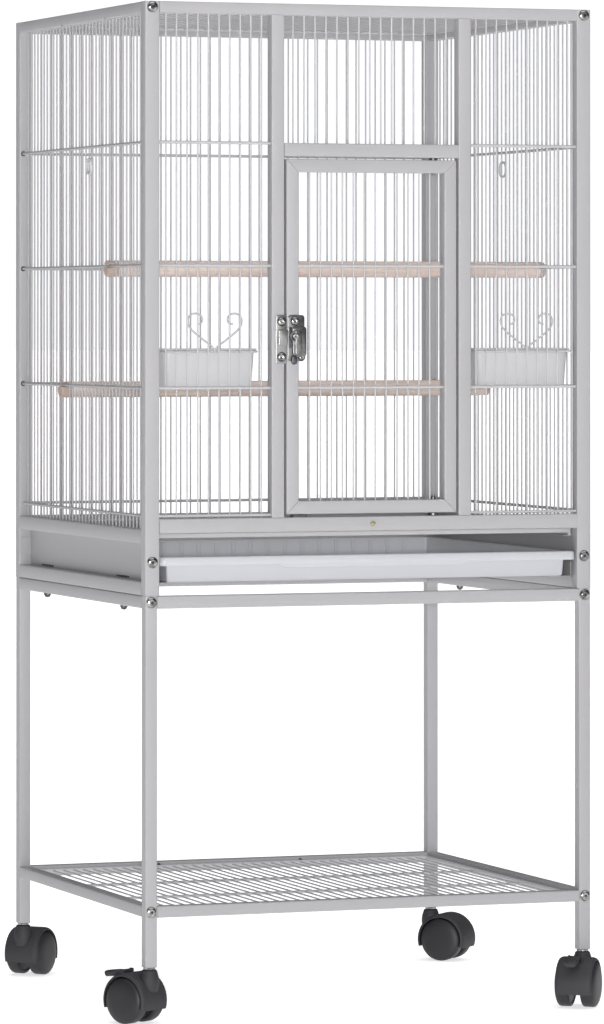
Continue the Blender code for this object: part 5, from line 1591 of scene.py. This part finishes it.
# %% Cup holders
HOLDER_LINE = 0.012
HOLDER_LEVEL = 0.8839
HOLDER_WIRE = 0.003
CURL_WIRE = 0.0026
HOLDER_BACK = 0.0741
RING_OFFSET = 0.0019
CLIP_LINE = 0.0063
CLIP_INSET = 0.016
CLIP_HALF = 0.009
CURL = mm(
    (0.0, 0.0), (1.2, 3.6), (18.5, 17.6), (34.2, 31.2), (37.2, 37.0), (36.6, 45.5),
    (32.2, 49.6), (26.0, 50.4), (20.2, 48.2), (17.6, 42.5), (20.2, 37.5), (25.0, 36.5),
)

wire_gaps = []
for section in front_sections:
    places = evenly(*section, PITCH, MARGIN)
    wire_gaps += [(a + b) / 2 for a, b in zip(places, places[1:])]
print("gaps that a clip could take:", len(wire_gaps))


def add_clip(shell, edge):
    """A short leg out through the nearest gap between wires, and a bar across it."""
    x = min(wire_gaps, key=lambda gap: abs(gap - edge))
    add_wire(shell, (x, CLIP_LINE, HOLDER_LEVEL), (x, HOLDER_LINE, HOLDER_LEVEL))
    add_wire(shell, (x - CLIP_HALF, CLIP_LINE, HOLDER_LEVEL), (x + CLIP_HALF, CLIP_LINE, HOLDER_LEVEL))


def make_holder(side):
    left, right, middle = CUPS[side]
    shell = bmesh.new()
    low, high = (left - RING_OFFSET, HOLDER_LINE), (right + RING_OFFSET, HOLDER_BACK + RING_OFFSET)
    ring = [(x, y, HOLDER_LEVEL) for x, y in rounded_path(low, high, 0.008)]
    add_bent_wire(shell, ring, HOLDER_WIRE, closed=True, smooth=False)
    for way in (-1, 1):
        path = [(middle + way * x, HOLDER_LINE, HOLDER_LEVEL + z) for x, z in CURL]
        add_bent_wire(shell, path, CURL_WIRE)
    for edge in (left + CLIP_INSET, right - CLIP_INSET):
        add_clip(shell, edge)
    finish_piece(f"holder_{side}", shell, painted_highlight_wire_coat, f"feeder_holder_{side}", sharp=60)


for side in SIDES:
    make_holder(side)

# %% [markdown]
# ## Casters
#
# A twin-wheel caster is a hood with a web in the middle, a wheel on each side of the web, and a
# stem. All are bodies of revolution. The wheels and the hood's shell turn round the axle, the stem
# round the swivel's axis. Each piece is drawn once with the stem at the origin and the axle towards
# +x, and then turned to its heading, so that the swivel and the axle stay where the CAD model has
# them.

# %% Caster measures
CASTERS = {
    "front_left": (LEG_MIDDLE, LEG_MIDDLE, 120),
    "front_right": (WIDTH - LEG_MIDDLE, LEG_MIDDLE, -126),
    "back_left": (LEG_MIDDLE, DEPTH - LEG_MIDDLE, 46),
    "back_right": (WIDTH - LEG_MIDDLE, DEPTH - LEG_MIDDLE, -45),
}
AXLE = (0.025, 0.0, 0.0305)
WHEEL = 0.0304
WHEEL_HALF = 0.0293
HOOD_INNER = 0.0322
HOOD_OUTER = 0.0365


def finish_caster_piece(name, corner, shell, material, node, body, sharp=38):
    """Turns a caster piece to its heading, moves it under its leg and finishes it."""
    x, y, heading = CASTERS[corner]
    matrix = Matrix.Translation((x, y, 0)) @ Matrix.Rotation(math.radians(heading), 4, "Z")
    bmesh.ops.transform(shell, matrix=matrix, verts=shell.verts)
    finish_piece(f"{name}_{corner}", shell, material, node, body, sharp)


print("casters:", ", ".join(CASTERS))

# %% [markdown]
# ### Wheels
#
# Each disc is a deep dome on the outside and a flat with a hub on the inside. The dome is an arc
# that falls off slowly and then fast. The lathe outline runs from the middle of one disc's face
# over its tread to the axle and on to the other disc.

# %% Caster wheels
TREAD = [(WHEEL, 0.0190), (WHEEL, 0.0105), (WHEEL - 0.0006, 0.0090), (WHEEL - 0.0022, 0.0080)]
WHEEL_BACK = mm((26.5, 8.0), (25.0, 9.2), (10.0, 9.2), (9.0, 8.0), (4.0, 8.0))
DOME = 0.0075


def wheel_outline():
    face = [(0.0, WHEEL_HALF)]
    for angle in range(8, 89, 8):
        share = math.radians(angle)
        face.append((WHEEL * math.sin(share) ** 0.9, WHEEL_HALF - DOME * (1 - math.cos(share)) ** 1.4))
    side = face + TREAD + WHEEL_BACK
    return side + [(radius, -along) for radius, along in reversed(side)]


def make_wheels(corner):
    shell = bmesh.new()
    add_turned(shell, wheel_outline(), AXLE, "y", 48)
    body = f"caster_wheels_{corner}"
    finish_caster_piece("twin_wheels", corner, shell, wheel_black, body, body)


for corner in CASTERS:
    make_wheels(corner)

# %% [markdown]
# ### Hood
#
# The hood's shell is a closed section that is spun part of the way round the axle, from a little
# below the axle's height at the front to the same at the back. Its shoulders are arcs. The web is a
# flat disc in the middle, and the boss round the stem grows out of the shell.

# %% Hood shell
DROOP = 18
SHOULDER = -0.0185
SHOULDER_WIDTH = 0.0065
SHOULDER_DROP = 0.0032
HOOD_HALF = 0.0250


def hood_section():
    """Half-width and radius of the shell's section, all the way round."""
    section = [(-HOOD_HALF, HOOD_INNER)]
    for angle in (180, 160, 140, 120, 100):
        share = math.radians(angle)
        along = SHOULDER + SHOULDER_WIDTH * math.cos(share)
        section.append((along, HOOD_OUTER - SHOULDER_DROP + SHOULDER_DROP * math.sin(share)))
    return section + [(-along, radius) for along, radius in reversed(section)]


def add_hood_shell(shell):
    made = bmesh.new()
    start = Matrix.Rotation(math.radians(DROOP), 4, "Y")
    verts = [made.verts.new(start @ Vector((radius, along, 0.0))) for along, radius in hood_section()]
    ring = [made.edges.new((verts[i - 1], verts[i])) for i in range(len(verts))]
    bmesh.ops.spin(
        made,
        geom=verts + ring,
        cent=(0, 0, 0),
        axis=(0, -1, 0),
        angle=math.radians(180 + 2 * DROOP),
        steps=30,
        use_merge=False,
    )
    bmesh.ops.edgeloop_fill(made, edges=[edge for edge in made.edges if edge.is_boundary])
    bmesh.ops.transform(made, matrix=Matrix.Translation(AXLE), verts=made.verts)
    bmesh.ops.recalc_face_normals(made, faces=made.faces)
    join_shells(shell, made)


# %% Web and boss
AXLE_BORE = 0.0043
WEB_HALF = 0.0070
WEB_RIM = HOOD_INNER + 0.0010
HUB = 0.0090
BOSS_LEAN = 130
BOSS = mm(
    (4.3, 36.0), (9.4, 36.0), (10.8, 41.0), (12.0, 46.0), (12.9, 50.5), (13.3, 54.5), (13.2, 58.0),
    (12.6, 62.0), (11.4, 66.0), (10.4, 69.5), (9.6, 71.1), (8.4, 71.7), (4.3, 71.7), (4.3, 36.0),
)


def add_disc(shell, radius, sides):
    """A disc as thick as the web, with the axle's bore."""
    corners = ((AXLE_BORE, -1), (radius, -1), (radius, 1), (AXLE_BORE, 1), (AXLE_BORE, -1))
    add_turned(shell, [(r, way * WEB_HALF) for r, way in corners], AXLE, "y", sides)


def add_web(shell):
    """The flat disc between the wheels, cut off under the hood's ends, and its hub."""
    made = bmesh.new()
    add_disc(made, WEB_RIM, 48)
    low = AXLE[2] - WEB_RIM * math.sin(math.radians(DROOP / 2))
    cut_away(made, (0, 0, low), (0, 0, -1))
    join_shells(shell, made)
    add_disc(shell, HUB, 32)


def add_boss(shell):
    """The round socket for the stem. It flares into the shell and is cut clear of the wheels."""
    made = bmesh.new()
    add_turned(made, BOSS, (0, 0, 0), "z", 40)
    away = Matrix.Rotation(math.radians(-BOSS_LEAN), 3, "Y") @ Vector((1.0, 0.0, 0.0))
    cut_away(made, Vector(AXLE) + HOOD_INNER * away, -away)
    join_shells(shell, made)


# %% Caster hoods
PEDAL_LUG = ((0.0362, 0.0083, 0.0620), (0.0432, 0.0108, 0.0704))


def make_hood(corner):
    shell = bmesh.new()
    add_hood_shell(shell)
    add_web(shell)
    add_boss(shell)
    if corner.startswith("front"):
        (start, near, low), (end, far, high) = PEDAL_LUG
        add_box(shell, (start, near, low), (end, far, high), 0.0008)
        add_box(shell, (start, -far, low), (end, -near, high), 0.0008)
    body = f"caster_hood_{corner}"
    finish_caster_piece("hood", corner, shell, hood_black, body, body)


for corner in CASTERS:
    make_hood(corner)

# %% Caster stems
STEM = mm(
    (0.0, 52.0), (4.0, 52.0), (4.0, 72.0), (7.2, 72.0), (8.0, 72.6), (8.0, 74.2), (7.4, 74.7),
    (5.0, 74.7), (5.0, 96.0), (0.0, 96.0),
)


def make_stem(corner):
    shell = bmesh.new()
    add_turned(shell, STEM, (0, 0, 0), "z", 32)
    finish_caster_piece("stem", corner, shell, bright_plate, f"caster_stem_{corner}", "frame", 32)


for corner in CASTERS:
    make_stem(corner)

# %% [markdown]
# ### Brake pedals
#
# The two front casters carry a pedal: a flat tongue with a thick rolled tip and a grip of three
# ribs, hinged on a pin between two lugs of the hood. It slopes up a little at rest.

# %% Brake pedals
PEDAL_SLOPE = 7
PEDAL_PIN = Vector((0.040, 0.0, 0.0672))
TONGUE = (Vector((-0.001, -0.008, -0.0024)), Vector((0.0340, 0.008, 0.0022)))
ROLLED_TIP = (Vector((0.0120, -0.0078, -0.0056)), Vector((0.0348, 0.0078, 0.0020)))
RIB_PLACES = (0.016, 0.022, 0.028)
RIB_SIZE = Vector((0.002, 0.013, 0.0012))
PEDAL_BARREL = (0.0026, 0.0080, 20)
PEDAL_AXLE = (0.0016, 0.0110, 16)


def make_pedal(corner):
    shell = bmesh.new()
    for (low, high), edge in ((TONGUE, 0.0018), (ROLLED_TIP, 0.0026)):
        add_box(shell, PEDAL_PIN + low, PEDAL_PIN + high, edge)
    for x in RIB_PLACES:
        low = PEDAL_PIN + Vector((x, -0.0060, 0.0016))
        add_box(shell, low, low + RIB_SIZE)
    for radius, half, sides in (PEDAL_BARREL, PEDAL_AXLE):
        add_turned(shell, pin_outline(radius, -half, half), PEDAL_PIN, "y", sides)
    slope = Matrix.Rotation(math.radians(PEDAL_SLOPE), 4, "Y")
    about_pin = Matrix.Translation(PEDAL_PIN) @ slope @ Matrix.Translation(-PEDAL_PIN)
    bmesh.ops.transform(shell, matrix=about_pin, verts=shell.verts)
    body = f"brake_pedal_{corner}"
    finish_caster_piece("pedal", corner, shell, hood_black, body, body)


for corner in ("front_left", "front_right"):
    make_pedal(corner)

# %% [markdown]
# ## Small things on the panels
#
# A few details are too small for the CAD model: the holes where the side rods enter the back
# stiles, pinholes in the shelf's back rail and the left top rail, each a thin dark disc of painted
# shade, and a small white wire catch on each side panel for hanging a toy or a bath.

# %% Pinholes
STILE_FRONT = DEPTH - PANEL - 0.0001
RAIL_FRONT = DEPTH - LEG_FAR - 0.0001
PINHOLE_SHADES = [((ROD_LINE, STILE_FRONT, z), "y", 0.0036) for z in ROD_HEIGHTS[1:]]
PINHOLE_SHADES += [((WIDTH - ROD_LINE, STILE_FRONT, z), "y", 0.0036) for z in ROD_HEIGHTS[1:]]
PINHOLE_SHADES += [((x, RAIL_FRONT, 0.150), "y", 0.0028) for x in (0.208, 0.422)]
PINHOLE_SHADES += [((0.0, y, TOP_RAIL + 0.0010), "x", 0.0013) for y in (0.173, 0.366)]


def make_pinhole_shades():
    shell = bmesh.new()
    for centre, axis, radius in PINHOLE_SHADES:
        add_turned(shell, pin_outline(radius, -0.0003, 0.0003), centre, axis, 16)
    # Each hole is a thin dark disc: painted shade.
    finish_piece("pinholes_painted_shade", shell, dark_steel_and_painted_shade)


make_pinhole_shades()

# %% Side catches
CATCHES = {"left": (0.262, 1.1345), "right": (0.301, 1.137)}
CATCH_HALF = (0.011, 0.010)
CATCH_WIRE = 0.0034
CATCH_LINE = MIDDLE - 0.0024


def make_catch(side, y, z):
    shell = bmesh.new()
    low, high = (y - CATCH_HALF[0], z - CATCH_HALF[1]), (y + CATCH_HALF[0], z + CATCH_HALF[1])
    path = [(CATCH_LINE, along, height) for along, height in rounded_path(low, high, 0.008)]
    add_bent_wire(shell, path, CATCH_WIRE, closed=True, smooth=False)
    to_side(shell, side)
    finish_piece(f"catch_{side}", shell, cup_white, sharp=60)


for side, (y, z) in CATCHES.items():
    make_catch(side, y, z)
